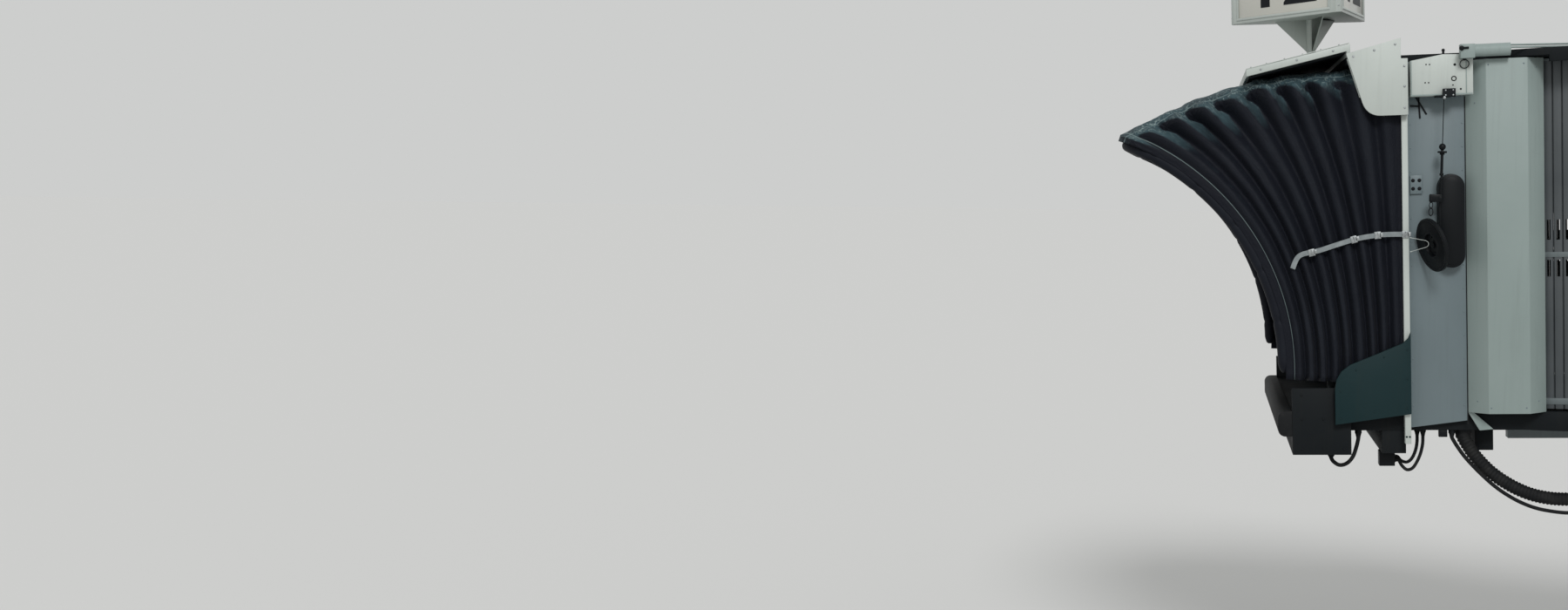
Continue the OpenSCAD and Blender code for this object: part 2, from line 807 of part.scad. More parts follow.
module side_shields() {
    back = 230;
    knee_z = shield_z + 130;
    color("white") cab_frame() both_sides() union() {
        side_plate(housing_y - plate_t, housing_y) union() {
            polygon([[0, shield_z], [back, shield_z], [back + 60, shield_z + 12],
                [back + 105, shield_z + 50], [back + 140, knee_z],
                [shield_len, shield_z + shield_h - 120], [55, shield_z + shield_h],
                [55, shield_z + shield_h - 175], [0, shield_z + shield_h - 175]]);
        }
        block(0, plate_t, post_y1, housing_y - plate_t + 1, shield_z, cab_clear);
    }
}

module lower_guards() {
    color("darkslategray") cab_frame() both_sides() union() {
        side_plate(guard_y, guard_y + plate_t) polygon([[0, 0], [625, -90], [625, 215],
            [610, 300], [570, 370], [497, 425], [253, 525], [64, 606], [20, 650], [0, 700]]);
        block(0, post_d, post_y1, guard_y + 1, 0, 600);
    }
}

module hood_roof() {
    x1 = hood_x0 + hood_len;
    drop = hood_t / cos(hood_slope);
    half = wall_y + 100;
    color("gainsboro") cab_frame() side_plate(-half, half) polygon([
        [hood_x0 - 30, roof_top], [hood_x0, roof_top], [hood_x0, hood_top(hood_x0) - drop],
        [x1, hood_top(x1) - drop], [x1, hood_top(x1)], [hood_x0 - 30, hood_z0]
    ]);
}

module front_platform() {
    lug_w = 110;
    lug_y1 = hoop_y - arm_t / 2 - fit;
    color("#181c20") cab_frame() union() {
        block(hood_x0, platform_reach, -platform_half, platform_half, -platform_d, 0);
        both_sides() block(hood_x0 + 40, platform_reach, platform_half - plate_t,
            platform_half, -1, curb_h);
        both_sides() side_plate(lug_y1 - hinge_lug_t, lug_y1) union() {
            translate([pivot_x - lug_w / 2, -1]) square([lug_w, pivot_z + 1]);
            translate([pivot_x, pivot_z]) circle(d = lug_w);
        }
        both_sides() translate([pivot_x, lug_y1 - 1, pivot_z]) rotate([-90, 0, 0])
            cylinder(d = pin_d, h = arm_t + 2 * fit + 1);
    }
}

module bumper() {
    h = 220;
    color("black") cab_frame() side_plate(-platform_half, platform_half) union() {
        translate([platform_reach, 20 - h]) square([bumper_d / 2, h]);
        translate([platform_reach + bumper_d / 2, 20 - h + bumper_d / 2])
            square([bumper_d / 2, h - bumper_d]);
        for (z = [20 - bumper_d / 2, 20 - h + bumper_d / 2])
            translate([platform_reach + bumper_d / 2, z]) circle(d = bumper_d);
    }
}

module floor_beams() {
    front_half = wall_y - cab_wall_t;
    rear_half = front_half - 200;
    rear_x1 = slew_r - cab_front + 190;
    color("#181c20") cab_frame() {
        block(30, 230, -front_half, front_half, -platform_d, -cab_floor_t);
        block(rear_x1 - 150, rear_x1, -rear_half, rear_half, -platform_d, -cab_floor_t);
    }
}

// Gate sign

module sign_outline() {
    r = sign_side / sqrt(3);
    cut = sign_corner / 2;
    corner = [for (i = [0 : 2]) let(a = 90 + sign_turn + 120 * i) r * [cos(a), sin(a)]];
    polygon([for (i = [0 : 2]) let(p = corner[i], a = corner[(i + 1) % 3], b = corner[(i + 2) % 3])
        each [p + cut * unit(b - p), p + cut * unit(a - p)]]);
}

module sign_recess(turn) {
    inset = sign_side / (2 * sqrt(3));
    face = sign_side - 2 * sign_corner - 60;
    rotate([0, 0, turn]) block(inset - 12, inset + 50, -face / 2, face / 2, 45, sign_h - 45);
}

module gate_sign() {
    color("whitesmoke") cab_frame() translate([sign_x, 0, sign_z]) difference() {
        linear_extrude(sign_h) sign_outline();
        for (i = [0 : 2]) sign_recess(150 + sign_turn + 120 * i);
    }
}

module sign_stand() {
    color("silver") cab_frame() translate([sign_x, 0, 0]) union() {
        difference() {
            translate([0, 0, hood_top(sign_x) - 60])
                cylinder(d = sign_post_d, h = sign_z - hood_top(sign_x) + 60);
            translate([0, 0, hood_top(sign_x)]) rotate([0, hood_slope, 0])
                block(-300, 300, -300, 300, -400, 0);
        }
        translate([0, 0, hood_top(sign_x)]) rotate([0, hood_slope, 0])
            cylinder(d = 200, h = 14);
        for (i = [0 : 2]) rotate([0, 0, 90 + sign_turn + 120 * i])
            side_plate(-6, 6) polygon([[0, sign_z - fin_h], [sign_post_d / 2, sign_z - fin_h],
                [fin_reach, sign_z], [0, sign_z]]);
    }
}

// Fittings on the cab

module roof_actuator() {
    tube_d = 106;
    y = housing_y + tube_d / 2 + 8;
    z = roof_top;
    tube_x0 = -panel_len - 335;
    tube_x1 = -panel_len - 50;
    rod_x0 = -2700;
    rod_y0 = 1100;
    lean = atan2(y - rod_y0, tube_x0 - rod_x0);
    rod_len = norm([y - rod_y0, tube_x0 - rod_x0]) + 20;
    color("lightgray") cab_frame() union() {
        translate([tube_x0, y, z]) rotate([0, 90, 0]) cylinder(d = tube_d, h = tube_x1 - tube_x0);
        block(tube_x1 - 1, tube_x1 + 110, housing_y, y + tube_d / 2 + 6, z - 62, z + 54);
        for (k = [0, 1]) translate([rod_x0, rod_y0, z + 13 + 22 * k]) rotate([0, 0, lean])
            translate([0, 12 - 24 * k, 0]) rotate([0, 90, 0]) cylinder(d = 16, h = rod_len);
        block(rod_x0 - 40, rod_x0 + 60, rod_y0 - 60, rod_y0 + 60, roof_top, z + 50);
    }
}

module hoist_bracket() {
    color("black") cab_frame() union() {
        block(-375, -275, housing_y, housing_y + 45, fascia_z0 - 15, fascia_z0 + 55);
        block(-345, -215, housing_y - 70, housing_y + 45, fascia_z0 - 15, fascia_z0);
    }
}

module stadium(w, h) {
    translate([-w / 2, w / 2]) square([w, h - w]);
    translate([0, w / 2]) circle(d = w);
    translate([0, h - w / 2]) circle(d = w);
}

module hoist_weight() {
    drop = 395;
    color("dimgray") cab_frame() translate([-285, housing_y + 10, fascia_z0 - 15])
        rotate([0, -pitch, 0]) union() {
            translate([0, 0, -drop]) cylinder(d = 8, h = drop - 1);
            translate([0, 0, -drop - 20]) sphere(d = 56);
            translate([0, 0, -drop - 72]) cylinder(d = 76, h = 16);
            translate([0, 0, -drop - 420]) cylinder(d = 22, h = 390);
            translate([-12, -14, -drop - 485]) cube([106, 28, 70]);
            translate([76, 0, -drop - 602]) side_plate(-6, 6) difference() {
                stadium(42, 125);
                translate([0, 9]) stadium(24, 107);
            }
        }
}

module reel_housing() {
    color("black") cab_frame() translate([-345, 0, 1240]) side_plate(wall_y, wall_y + 110)
        stadium(210, 790);
}

module reel_disc() {
    out = 240;
    color("black") cab_frame() translate([-170, wall_y, 1440]) union() {
        translate([0, out, 0]) rotate([0, 0, 22]) rotate([0, 102.5, 0]) difference() {
            translate([0, 0, -18]) cylinder(d = 460, h = 36);
            translate([0, 0, 2]) cylinder(d = 200, h = 17);
        }
        rotate([-90, 0, 0]) cylinder(d = 40, h = out - 55);
    }
}

module outlet_plate() {
    color("silver") cab_frame() block(-120, -20, wall_y, wall_y + 18, 1870, 2030);
}

module junction_boxes() {
    color("black") cab_frame() union() {
        block(110, 240, 1260, 1400, -platform_d - 130, -platform_d);
        block(-310, -240, 1490, 1540, -cab_floor_t - 60, -cab_floor_t);
    }
}

module gland(p, r, z) {
    translate([p[0], p[1], z - gland_h]) cylinder(r = r + 12, h = gland_h);
}

module cable_glands() {
    last = function(route) route[len(route) - 1];
    floor_z = -cab_floor_t;
    color("black") cab_frame() union() {
        gland(hose_route[0], hose_r, floor_z);
        gland(last(hose_route), hose_r, floor_z);
        gland(cable_route[0], cable_r, floor_z);
        gland(last(cable_route), cable_r, floor_z);
        gland(front_cable_route[0], front_cable_r, floor_z);
        gland(last(front_cable_route), front_cable_r, -platform_d);
        gland(last(loop_long_route), loop_r, floor_z);
        gland(last(loop_short_route), loop_r, floor_z);
    }
}

module service_hose() {
    color("black") cab_frame() tube(hose_route, hose_r, 12, [0, 1, 0]);
}

module service_cable() {
    color("black") cab_frame() tube(cable_route, cable_r, 8, [0, 1, 0]);
}

module front_cable() {
    color("black") cab_frame() tube(front_cable_route, front_cable_r, 8, [0, 1, 0]);
}

module loop_cable_long() {
    color("black") cab_frame() tube(loop_long_route, loop_r, 8, [0, 1, 0]);
}

module loop_cable_short() {
    color("black") cab_frame() tube(loop_short_route, loop_r, 8, [0, 1, 0]);
}

// Canopy

// A point on the circle that meets the aircraft, at an angle above the horizontal
function on_skin(r, a) = [skin_x - r * cos(a), skin_z + r * sin(a)];

side_steps = 7;
corner_steps = 4;
stations = 2 * pleats;
shoulder_s = shoulder_r / (fabric_top - fabric_z);

// Share of a pleat's fold at a station: none at the two ends
function fold(i) = (i == 0 || i == stations) ? 0 : (i % 2 == 0 ? -1 : 1);

// Side outline of the fabric: t from the frame to the hoop, s from the bottom to the top
function rear_point(s, top) = [fabric_x0, fabric_z + s * (top - fabric_z)];
function front_point(s) = on_skin(fabric_line, arc_low + s * (arc_high - arc_low));
function side_point(t, s, top) =
    (1 - t) * rear_point(s, top) + t * front_point(s) + [0, bulge * s * s * sin(180 * t)];

// One arch of the fabric at a station, from the left bottom over the top to the right bottom;
// the shoulder follows the side outline while it turns inwards, and inset moves it inwards
function half_arch(i, inset) = let(
        t = i / stations,
        out = pleat_a * fold(i) - inset,
        lift = pleat_a * 0.5 * fold(i) - inset
    ) concat(
        [for (j = [0 : side_steps - 1])
            let(p = side_point(t, j / side_steps * (1 - shoulder_s), fabric_top))
            [p[0], canopy_half + out, p[1]]],
        [for (j = [0 : corner_steps]) let(a = 90 * j / corner_steps,
                p = side_point(t, 1 - shoulder_s * (1 - sin(a)), fabric_top))
            [p[0], canopy_half - shoulder_r + (shoulder_r + out) * cos(a), p[1] + lift * sin(a)]]
    );

function arch(i, inset) = let(
        half = half_arch(i, inset),
        n = len(half),
        top = half[n - 1]
    ) concat(half, [[top[0], 0, top[2] + crown]],
        [for (j = [n - 1 : -1 : 0]) [half[j][0], -half[j][1], half[j][2]]]);

module canopy_bellows() {
    m = len(arch(0, 0));
    n = stations + 1;
    outer = [for (i = [0 : stations]) each arch(i, 0)];
    inner = [for (i = [0 : stations]) each arch(i, fabric_t)];
    at = function(layer, i, j) layer * n * m + i * m + j;
    skin = [for (i = [0 : n - 2], j = [0 : m - 2])
        each quad(at(0, i, j), at(0, i + 1, j), at(0, i + 1, j + 1), at(0, i, j + 1))];
    lining = [for (i = [0 : n - 2], j = [0 : m - 2])
        each quad(at(1, i, j), at(1, i, j + 1), at(1, i + 1, j + 1), at(1, i + 1, j))];
    rims = [for (j = [0 : m - 2]) each concat(
        quad(at(0, 0, j), at(0, 0, j + 1), at(1, 0, j + 1), at(1, 0, j)),
        quad(at(0, n - 1, j), at(1, n - 1, j), at(1, n - 1, j + 1), at(0, n - 1, j + 1)))];
    hems = [for (i = [0 : n - 2]) each concat(
        quad(at(0, i, 0), at(1, i, 0), at(1, i + 1, 0), at(0, i + 1, 0)),
        quad(at(0, i, m - 1), at(0, i + 1, m - 1), at(1, i + 1, m - 1), at(1, i, m - 1)))];
    color("#12161f") cab_frame()
        polyhedron(concat(outer, inner), concat(skin, lining, rims, hems), convexity = 10);
}

// The line of the hoop or the pads: up one side, over the top and down the other
function hoop_half(r, y) = concat(
    [for (j = [0 : 9]) let(p = on_skin(r, arc_low + j * (arc_high - 10 - arc_low) / 9))
        [p[0], y, p[1]]],
    [for (j = [1 : 4]) let(a = 90 * j / 4,
            p = on_skin(r, arc_high - 10 + 7.5 * sin(a)))
        [p[0], y - hoop_corner + hoop_corner * cos(a), p[1]]]
);
function hoop_line_points(r, y) = let(half = hoop_half(r, y), n = len(half))
    concat(half, [for (j = [n - 1 : -1 : 0]) [half[j][0], -half[j][1], half[j][2]]]);

module canopy_hoop() {
    color("dimgray") cab_frame()
        tube(hoop_line_points(hoop_line, hoop_y), hoop_r, 8, [1, 0, -0.3]);
}

module canopy_pads() {
    color("#101418") cab_frame()
        tube(hoop_line_points(pad_line, hoop_y + 20), pad_r, 10, [1, 0, -0.3]);
}

module canopy_arms() {
    foot = on_skin(hoop_line, arc_low);
    y0 = hoop_y - arm_t / 2;
    color("dimgray") cab_frame() both_sides() difference() {
        side_plate(y0, y0 + arm_t) union() {
            translate([pivot_x, pivot_z]) circle(d = arm_w);
            translate([pivot_x, pivot_z - arm_w / 2])
                square([foot[0] - pivot_x, foot[1] - pivot_z + arm_w / 2 - fit]);
        }
        translate([pivot_x, y0 - 1, pivot_z]) rotate([-90, 0, 0])
            cylinder(d = pin_d + 2 * fit, h = arm_t + 2);
    }
}

// A flat band along a line in x and z
function band(route, w) = let(
        n = len(route),
        side = [for (i = [0 : n - 1]) let(d = heading(route, i)) w / 2 * [-d[1], d[0]]]
    ) concat([for (i = [0 : n - 1]) route[i] + side[i]],
        [for (i = [n - 1 : -1 : 0]) route[i] - side[i]]);

module canopy_straps() {
    color("silver") cab_frame() both_sides()
        side_plate(post_y1 + fit, post_y1 + fit + strap_t) polygon(band(strap_route, strap_w));
}

rotunda_column();
rotunda_floor();
rotunda_roof();
rotunda_curtains();
terminal_frame();
tunnel_portal();
rotunda_gasket();
tunnel_a_floor();
tunnel_a_wall(1);  // tunnel_a_wall_left
tunnel_a_wall(-1);  // tunnel_a_wall_right
tunnel_a_roof();
floor_ramp();
tunnel_b_floor();
tunnel_b_wall(1);  // tunnel_b_wall_left
tunnel_b_wall(-1);  // tunnel_b_wall_right
tunnel_b_roof();
tunnel_b_rear_frame();
tunnel_slides();
tunnel_b_front_frame();
slew_support();
lift_column(1);  // lift_column_left
lift_column(-1);  // lift_column_right
drive_beam();
wheel_bogie();
drive_wheels();
bubble_curtain(1);  // bubble_curtain_left
bubble_curtain(-1);  // bubble_curtain_right
cab_floor();
cab_wall(1);  // cab_wall_left
cab_wall(-1);  // cab_wall_right
cab_roof();
fascia_boxes();
curtain_housings();
front_frame();
side_shields();
lower_guards();
hood_roof();
front_platform();
bumper();
floor_beams();
gate_sign();
sign_stand();
roof_actuator();
hoist_bracket();
hoist_weight();
reel_housing();
reel_disc();
outlet_plate();
junction_boxes();
cable_glands();
service_hose();
service_cable();
front_cable();
loop_cable_long();
loop_cable_short();
canopy_bellows();
canopy_hoop();
canopy_arms();
canopy_pads();
canopy_straps();
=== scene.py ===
import json
from itertools import product
from math import atan2, cos, exp, hypot, pi, radians, sin, sqrt, tan

import bmesh
import bpy
from mathutils import Matrix, Vector, noise

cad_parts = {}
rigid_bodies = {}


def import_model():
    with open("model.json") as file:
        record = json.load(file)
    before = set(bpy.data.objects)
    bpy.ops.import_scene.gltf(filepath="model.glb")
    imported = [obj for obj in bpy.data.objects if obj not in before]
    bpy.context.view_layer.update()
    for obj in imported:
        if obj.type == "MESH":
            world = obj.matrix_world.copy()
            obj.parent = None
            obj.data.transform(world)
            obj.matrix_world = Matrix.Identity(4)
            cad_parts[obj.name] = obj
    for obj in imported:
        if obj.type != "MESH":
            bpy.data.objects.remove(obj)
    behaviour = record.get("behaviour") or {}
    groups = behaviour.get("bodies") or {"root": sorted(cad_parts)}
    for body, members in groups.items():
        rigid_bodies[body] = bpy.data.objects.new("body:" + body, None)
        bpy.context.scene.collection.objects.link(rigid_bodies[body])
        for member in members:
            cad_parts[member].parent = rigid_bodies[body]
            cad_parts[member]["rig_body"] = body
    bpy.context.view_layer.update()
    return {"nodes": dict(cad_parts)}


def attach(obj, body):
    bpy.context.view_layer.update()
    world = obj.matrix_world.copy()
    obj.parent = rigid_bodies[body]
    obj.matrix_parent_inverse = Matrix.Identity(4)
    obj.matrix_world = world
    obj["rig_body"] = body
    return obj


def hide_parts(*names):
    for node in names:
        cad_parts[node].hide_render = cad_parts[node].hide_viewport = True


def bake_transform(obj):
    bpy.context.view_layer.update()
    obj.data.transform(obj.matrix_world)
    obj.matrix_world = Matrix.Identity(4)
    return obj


bl_info = {
    "name": "Jet bridge",
    "version": (1, 0, 0),
    "blender": (4, 5, 0),
    "location": "3D View > Sidebar > Bridge",
    "description": "Dresses the solids of a passenger boarding bridge and sets its stage",
    "category": "Object",
}

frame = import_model()
shift = Matrix.Translation


def turn(degrees, axis):
    return Matrix.Rotation(radians(degrees), 4, axis)


# Places of the tunnel, the round floor and the cab, from the part's own sizes, in metres
SLOPE = 2.35
PORTAL_X, FLOOR_Z = 1.58618, 4.15
DRIVE_X, WHEEL_Y, WHEEL_Z = 10.47828, 0.65, 0.55
WALL_Y, HOUSING_Y = 1.6, 1.75
HOOD_X, HOOD_TOP, HOOD_SLOPE = 0.49, 3.16, 12.2
SIGN_X, SIGN_Z = 0.68, 3.52
WORLD = Matrix()
BRIDGE = shift((PORTAL_X, 0, FLOOR_Z)) @ turn(SLOPE, "Y") @ shift((0, 0, -0.15))
BUBBLE = BRIDGE @ shift((13.49, 0, 0))
CAB = BRIDGE @ shift((15.14, 0, 0))
MIRROR = Matrix.Scale(-1, 4, (0, 1, 0))
UP, OUT, AHEAD = Vector((0, 0, 1)), Vector((0, 1, 0)), Vector((1, 0, 0))
WHITE = (1, 1, 1)


def linear(code):
    """The linear colour that shaders take, from an sRGB hex value."""
    parts = [int(code[i:i + 2], 16) / 255 for i in (1, 3, 5)]
    return [v / 12.92 if v <= 0.04045 else ((v + 0.055) / 1.055) ** 2.4 for v in parts] + [1.0]


def metres(label, default, use):
    return bpy.props.FloatProperty(
        name=label, description=use, default=default, unit="LENGTH", subtype="DISTANCE")


def colour(label, code, use):
    return bpy.props.FloatVectorProperty(
        name=label, description=use, default=linear(code), size=4, min=0, max=1, subtype="COLOR")


class BridgeSizes(bpy.types.PropertyGroup):
    pleats: bpy.props.IntProperty(
        name="Pleats", description="Number of pleats in the canopy", default=9, min=6, max=12)
    pleat_depth: metres("Pleat depth", 0.026, "From a pleat's middle to its fold")
    crumple: metres("Crumple", 0.02, "Height of the creases at the canopy's shoulders")
    slat_width: metres("Slat width", 0.075, "Width of one curtain slat")
    hose_rib: metres("Hose rib", 0.03, "Distance between the ribs of the service hose")
    digit_height: metres("Digit height", 0.6, "Height of the digits on the gate sign")
    edge: metres("Eased edge", 0.003, "Width of the eased edges of folded sheet metal")


class BridgeColours(bpy.types.PropertyGroup):
    white_paint: colour("White paint", "#B3BAB5", "Shields, hood, posts and frames")
    panel_paint: colour("Panel paint", "#84928F", "Curtain housings and tunnels")
    # a darker copy of the panel paint: painted shade on the cab's side walls, their seams and
    # rivets and the outlet plate
    wall_paint: colour("Wall paint", "#616F73", "Side walls of the cab")
    steel_paint: colour("Steel paint", "#5E6769", "Beams, lift and bogie")
    black_paint: colour("Black paint", "#0E1316", "Underside of the cab and the roof's rim")
    guard_green: colour("Guard green", "#0D272A", "Guards beside the canopy's foot")
    fabric: colour("Canopy fabric", "#10131B", "Coated cloth of the canopy")
    # painted sky light: the colour that faces looking up at the sky are painted towards
    fabric_faded: colour("Sky-lit fabric", "#3C5157", "Painted sky light on the canopy's shoulders")
    # darker than bare anodised aluminium: partly the slats' own grey and partly painted shade
    slats: colour("Curtain slats", "#2C363B", "Slatted curtains")
    webbing: colour("Webbing", "#6E797C", "Tie straps")
    rubber: colour("Rubber", "#101214", "Bumper, hoses and gaskets")
    sign_face: colour("Sign face", "#C9C9C3", "Faces of the gate sign")
    digits: colour("Digits", "#15171A", "Digits of the gate sign")


# Materials


# What a node of each kind has, unless its row says otherwise
USUAL = {
    "Mix": {"data_type": "RGBA"},
    "Math": {"operation": "MULTIPLY"},
    "Mapping": {"Vector": "place.Object"},
    "TexNoise": {"Vector": "place.Object"},
    "TexVoronoi": {"Vector": "place.Object"},
}


def add(tree, made, label, kind, inputs):
    """A shader node, kept in made by its label. Settings have names in lower case, sockets don't,
    and a link names an earlier node and its output."""
    node = made[label] = tree.nodes.new("ShaderNode" + kind)
    for key, value in {**USUAL.get(kind, {}), **inputs}.items():
        if isinstance(value, str) and "." in value:
            source, output = value.split(".")
            tree.links.new(made[source].outputs[output], node.inputs[key])
        elif isinstance(key, str) and key.islower():
            setattr(node, key, value)
        else:
            node.inputs[key].default_value = value


def grow(tree, rows):
    """The nodes of a tree, each from a row with its label, its kind and what it has."""
    tree.nodes.clear()
    made = {}
    for label, kind, inputs in rows:
        add(tree, made, label, kind, inputs)


def surface(name, shader, rows=()):
    """A material from the inputs of its Principled shader and the nodes before it."""
    material = bpy.data.materials.new(name)
    material.use_nodes = True
    grow(material.node_tree, [*rows, ("shader", "BsdfPrincipled", shader),
                              ("end", "OutputMaterial", {"Surface": "shader.BSDF"})])
    return material


def darker(c, share):
    return [v * share for v in c[:3]] + [1.0]


def towards(a, b, share):
    return [x + (y - x) * share for x, y in zip(a[:3], b[:3])] + [1.0]


def painted_steel(name, paint, grime=0.25, roughness=0.42, gleam=0.5):
    """Polyester powder paint on folded sheet steel. It looks smooth, with a faint orange peel,
    chalky patches where the sun has dulled it, and thin rain streaks that run down."""
    chalk = towards(paint, WHITE, min(0.06, 0.008 + 0.1 * paint[1]))
    soil = towards(darker(paint, 0.45), linear("#4A4438"), 0.35)
    surface(name, {
        "Base Color": "speckled.Result", "Roughness": "gloss.Result", "Normal": "bump.Normal",
        "IOR": 1.5, "Specular IOR Level": gleam,
    }, [
        ("place", "TexCoord", {}),
        ("patches", "TexNoise", {"Scale": 0.8, "Detail": 6.0, "Roughness": 0.62}),
        ("chalky", "Mix", {"Factor": "patches.Fac", "A": darker(paint, 0.88), "B": chalk}),
        # streaks 25 mm wide and about 0.7 m long
        ("drawn", "Mapping", {"Scale": (14.0, 14.0, 0.55)}),
        ("streaks", "TexNoise", {"Vector": "drawn.Vector", "Scale": 1.6, "Detail": 4.0,
                                 "Roughness": 0.55}),
        ("streak", "MapRange", {"Value": "streaks.Fac", "From Min": 0.52, "From Max": 0.8,
                                "To Max": grime}),
        ("streaked", "Mix", {"Factor": "streak.Result", "A": "chalky.Result", "B": soil}),
        # dust specks of 4 mm, drawn coarser than real ones so that they show
        ("specks", "TexNoise", {"Scale": 120.0, "Detail": 2.0}),
        ("speck", "MapRange", {"Value": "specks.Fac", "From Min": 0.66, "From Max": 0.8,
                               "To Max": 0.35}),
        ("speckled", "Mix", {"Factor": "speck.Result",
                             "A": "streaked.Result", "B": darker(paint, 0.42)}),
        ("gloss", "MapRange", {"Value": "patches.Fac", "From Min": 0.3, "From Max": 0.7,
                               "To Min": roughness - 0.09, "To Max": roughness + 0.13}),
        ("peel", "TexNoise", {"Scale": 190.0, "Detail": 1.0}),
        ("bump", "Bump", {"Height": "peel.Fac", "Strength": 0.1, "Distance": 0.002}),
    ])


def zinc_steel(name, shade):
    """Hot-dip zinc on steel: dull spangles of 15 mm in slightly different greys."""
    surface(name, {"Base Color": "tint.Result", "Roughness": "rough.Result", "Metallic": 0.75}, [
        ("place", "TexCoord", {}),
        ("spangle", "TexVoronoi", {"Scale": 66.0}),
        ("grey", "SeparateColor", {"Color": "spangle.Color"}),
        ("tint", "Mix", {"Factor": "grey.Red", "A": darker(shade, 0.72),
                         "B": towards(shade, WHITE, 0.12)}),
        ("rough", "MapRange", {"Value": "grey.Red", "To Min": 0.38, "To Max": 0.58}),
    ])


def moulded_rubber(name, shade, roughness=0.72):
    """EPDM rubber: near black, dull, with a fine grain and pale dust in patches."""
    surface(name, {
        "Base Color": "dusted.Result", "Normal": "bump.Normal", "Roughness": roughness,
        "IOR": 1.52, "Specular IOR Level": 0.2,
    }, [
        ("place", "TexCoord", {}),
        ("dust", "TexNoise", {"Scale": 5.0, "Detail": 8.0, "Roughness": 0.7}),
        ("share", "MapRange", {"Value": "dust.Fac", "From Min": 0.48, "From Max": 0.75,
                               "To Max": 0.22}),
        ("dusted", "Mix", {"Factor": "share.Result", "A": shade, "B": linear("#4C4B46")}),
        ("grain", "TexNoise", {"Scale": 260.0, "Detail": 3.0}),
        ("bump", "Bump", {"Height": "grain.Fac", "Strength": 0.25, "Distance": 0.002}),
    ])


def coated_cloth(name, cloth, sky_lit_cloth):
    """PVC-coated polyester cloth: a dull skin over a woven base, with painted highlights on the
    ridges of its folds, on one side of each pad, on faces that look up to the sky and along the
    shoulders' creases. Threads are drawn 8 mm apart, coarser than the real 1 mm, so that the weave
    shows."""
    surface(name, {
        "Base Color": "lined.Result", "Roughness": "gloss.Result", "Normal": "bump.Normal",
        "Specular IOR Level": 0.13, "Sheen Weight": 0.02, "Sheen Roughness": 0.5,
    }, [
        ("cut", "UVMap", {"uv_map": "Cut"}),
        ("place", "TexCoord", {}),
        *((label, "Attribute", {"attribute_name": label})
          for label in ("ridge", "shoulder", "gather", "seam")),
        ("mottle", "TexNoise", {"Scale": 3.2, "Detail": 9.0, "Roughness": 0.68}),
        ("gloss", "MapRange", {"Value": "mottle.Fac", "To Min": 0.5, "To Max": 0.72}),
        # the cloth is painted lighter on the ridges of its folds and on one side of each pad: a
        # painted highlight
        ("worn", "Math", {0: "ridge.Fac", 1: "mottle.Fac"}),
        ("worn_share", "MapRange", {"Value": "worn.Value", "From Min": 0.3, "From Max": 0.75,
                                    "To Max": 0.22}),
        ("dusty", "Mix", {"Factor": "worn_share.Result", "A": cloth,
                          "B": towards(cloth, linear("#3A4148"), 0.55)}),
        # faces that look up to the sky are painted lighter, most near the top: painted sky light
        ("sunned", "Math", {0: "shoulder.Fac", 1: "mottle.Fac"}),
        ("bleached", "MapRange", {"Value": "sunned.Value", "From Min": 0.12, "From Max": 0.55,
                                  "To Max": 0.9}),
        ("pale", "Mix", {"Factor": "bleached.Result", "A": "dusty.Result", "B": sky_lit_cloth}),
        # gathers across the shoulders, with sharp pale lines on their creases that are painted
        # highlights
        ("drawn", "Mapping", {"Vector": "cut.UV", "Scale": (2.6, 1.0, 1.0)}),
        ("gathers", "TexNoise", {"noise_type": "RIDGED_MULTIFRACTAL", "Vector": "drawn.Vector",
                                 "Scale": 8.0, "Detail": 4.0, "Roughness": 0.5, "Lacunarity": 2.2,
                                 "Offset": 1.0, "Gain": 2.0, "Distortion": 0.4}),
        ("crest", "MapRange", {"Value": "gathers.Fac", "From Min": 1.38, "From Max": 1.75}),
        ("lit", "Math", {0: "crest.Result", 1: "bleached.Result"}),
        ("crease", "Math", {0: "lit.Value", 1: "gather.Fac"}),
        # a welded seam along the shoulders and the hems
        ("weld", "MapRange", {"Value": "seam.Fac", "From Min": 0.004, "From Max": 0.008,
                              "To Min": 0.5, "To Max": 0.0}),
        # the pale line is a painted highlight along the creases and the welded seams' own pale
        # colour
        ("line", "Math", {"operation": "MAXIMUM", 0: "crease.Value", 1: "weld.Result"}),
        ("lined", "Mix", {"Factor": "line.Value", "A": "pale.Result",
                          "B": towards(sky_lit_cloth, linear("#B9CBC8"), 0.45)}),
        ("warp", "TexWave", {"bands_direction": "X", "Vector": "cut.UV", "Scale": 40.0,
                             "Distortion": 0.4}),
        ("weft", "TexWave", {"bands_direction": "Y", "Vector": "cut.UV", "Scale": 40.0,
                             "Distortion": 0.4}),
        ("weave", "Math", {"operation": "MAXIMUM", 0: "warp.Fac", 1: "weft.Fac"}),
        ("height", "Math", {0: "gathers.Fac", 1: "gather.Fac"}),
        ("soft", "Bump", {"Height": "height.Value", "Strength": 0.6, "Distance": 0.02}),
        ("bump", "Bump", {"Height": "weave.Value", "Normal": "soft.Normal", "Strength": 0.22,
                          "Distance": 0.0015}),
    ])


def woven_webbing(name, thread):
    """Polyester webbing: ribs of 6 mm across the band and soiled patches."""
    surface(name, {"Base Color": "tint.Result", "Normal": "bump.Normal", "Roughness": 0.6,
                   "Sheen Weight": 0.2}, [
        ("cut", "UVMap", {"uv_map": "Cut"}),
        ("ribs", "TexWave", {"bands_direction": "Y", "Vector": "cut.UV", "Scale": 50.0,
                             "Distortion": 0.3}),
        ("soil", "TexNoise", {"Vector": "cut.UV", "Scale": 14.0, "Detail": 6.0}),
        ("tint", "Mix", {"Factor": "soil.Fac", "A": darker(thread, 0.55),
                         "B": towards(thread, WHITE, 0.15)}),
        ("bump", "Bump", {"Height": "ribs.Fac", "Strength": 0.5, "Distance": 0.001}),
    ])


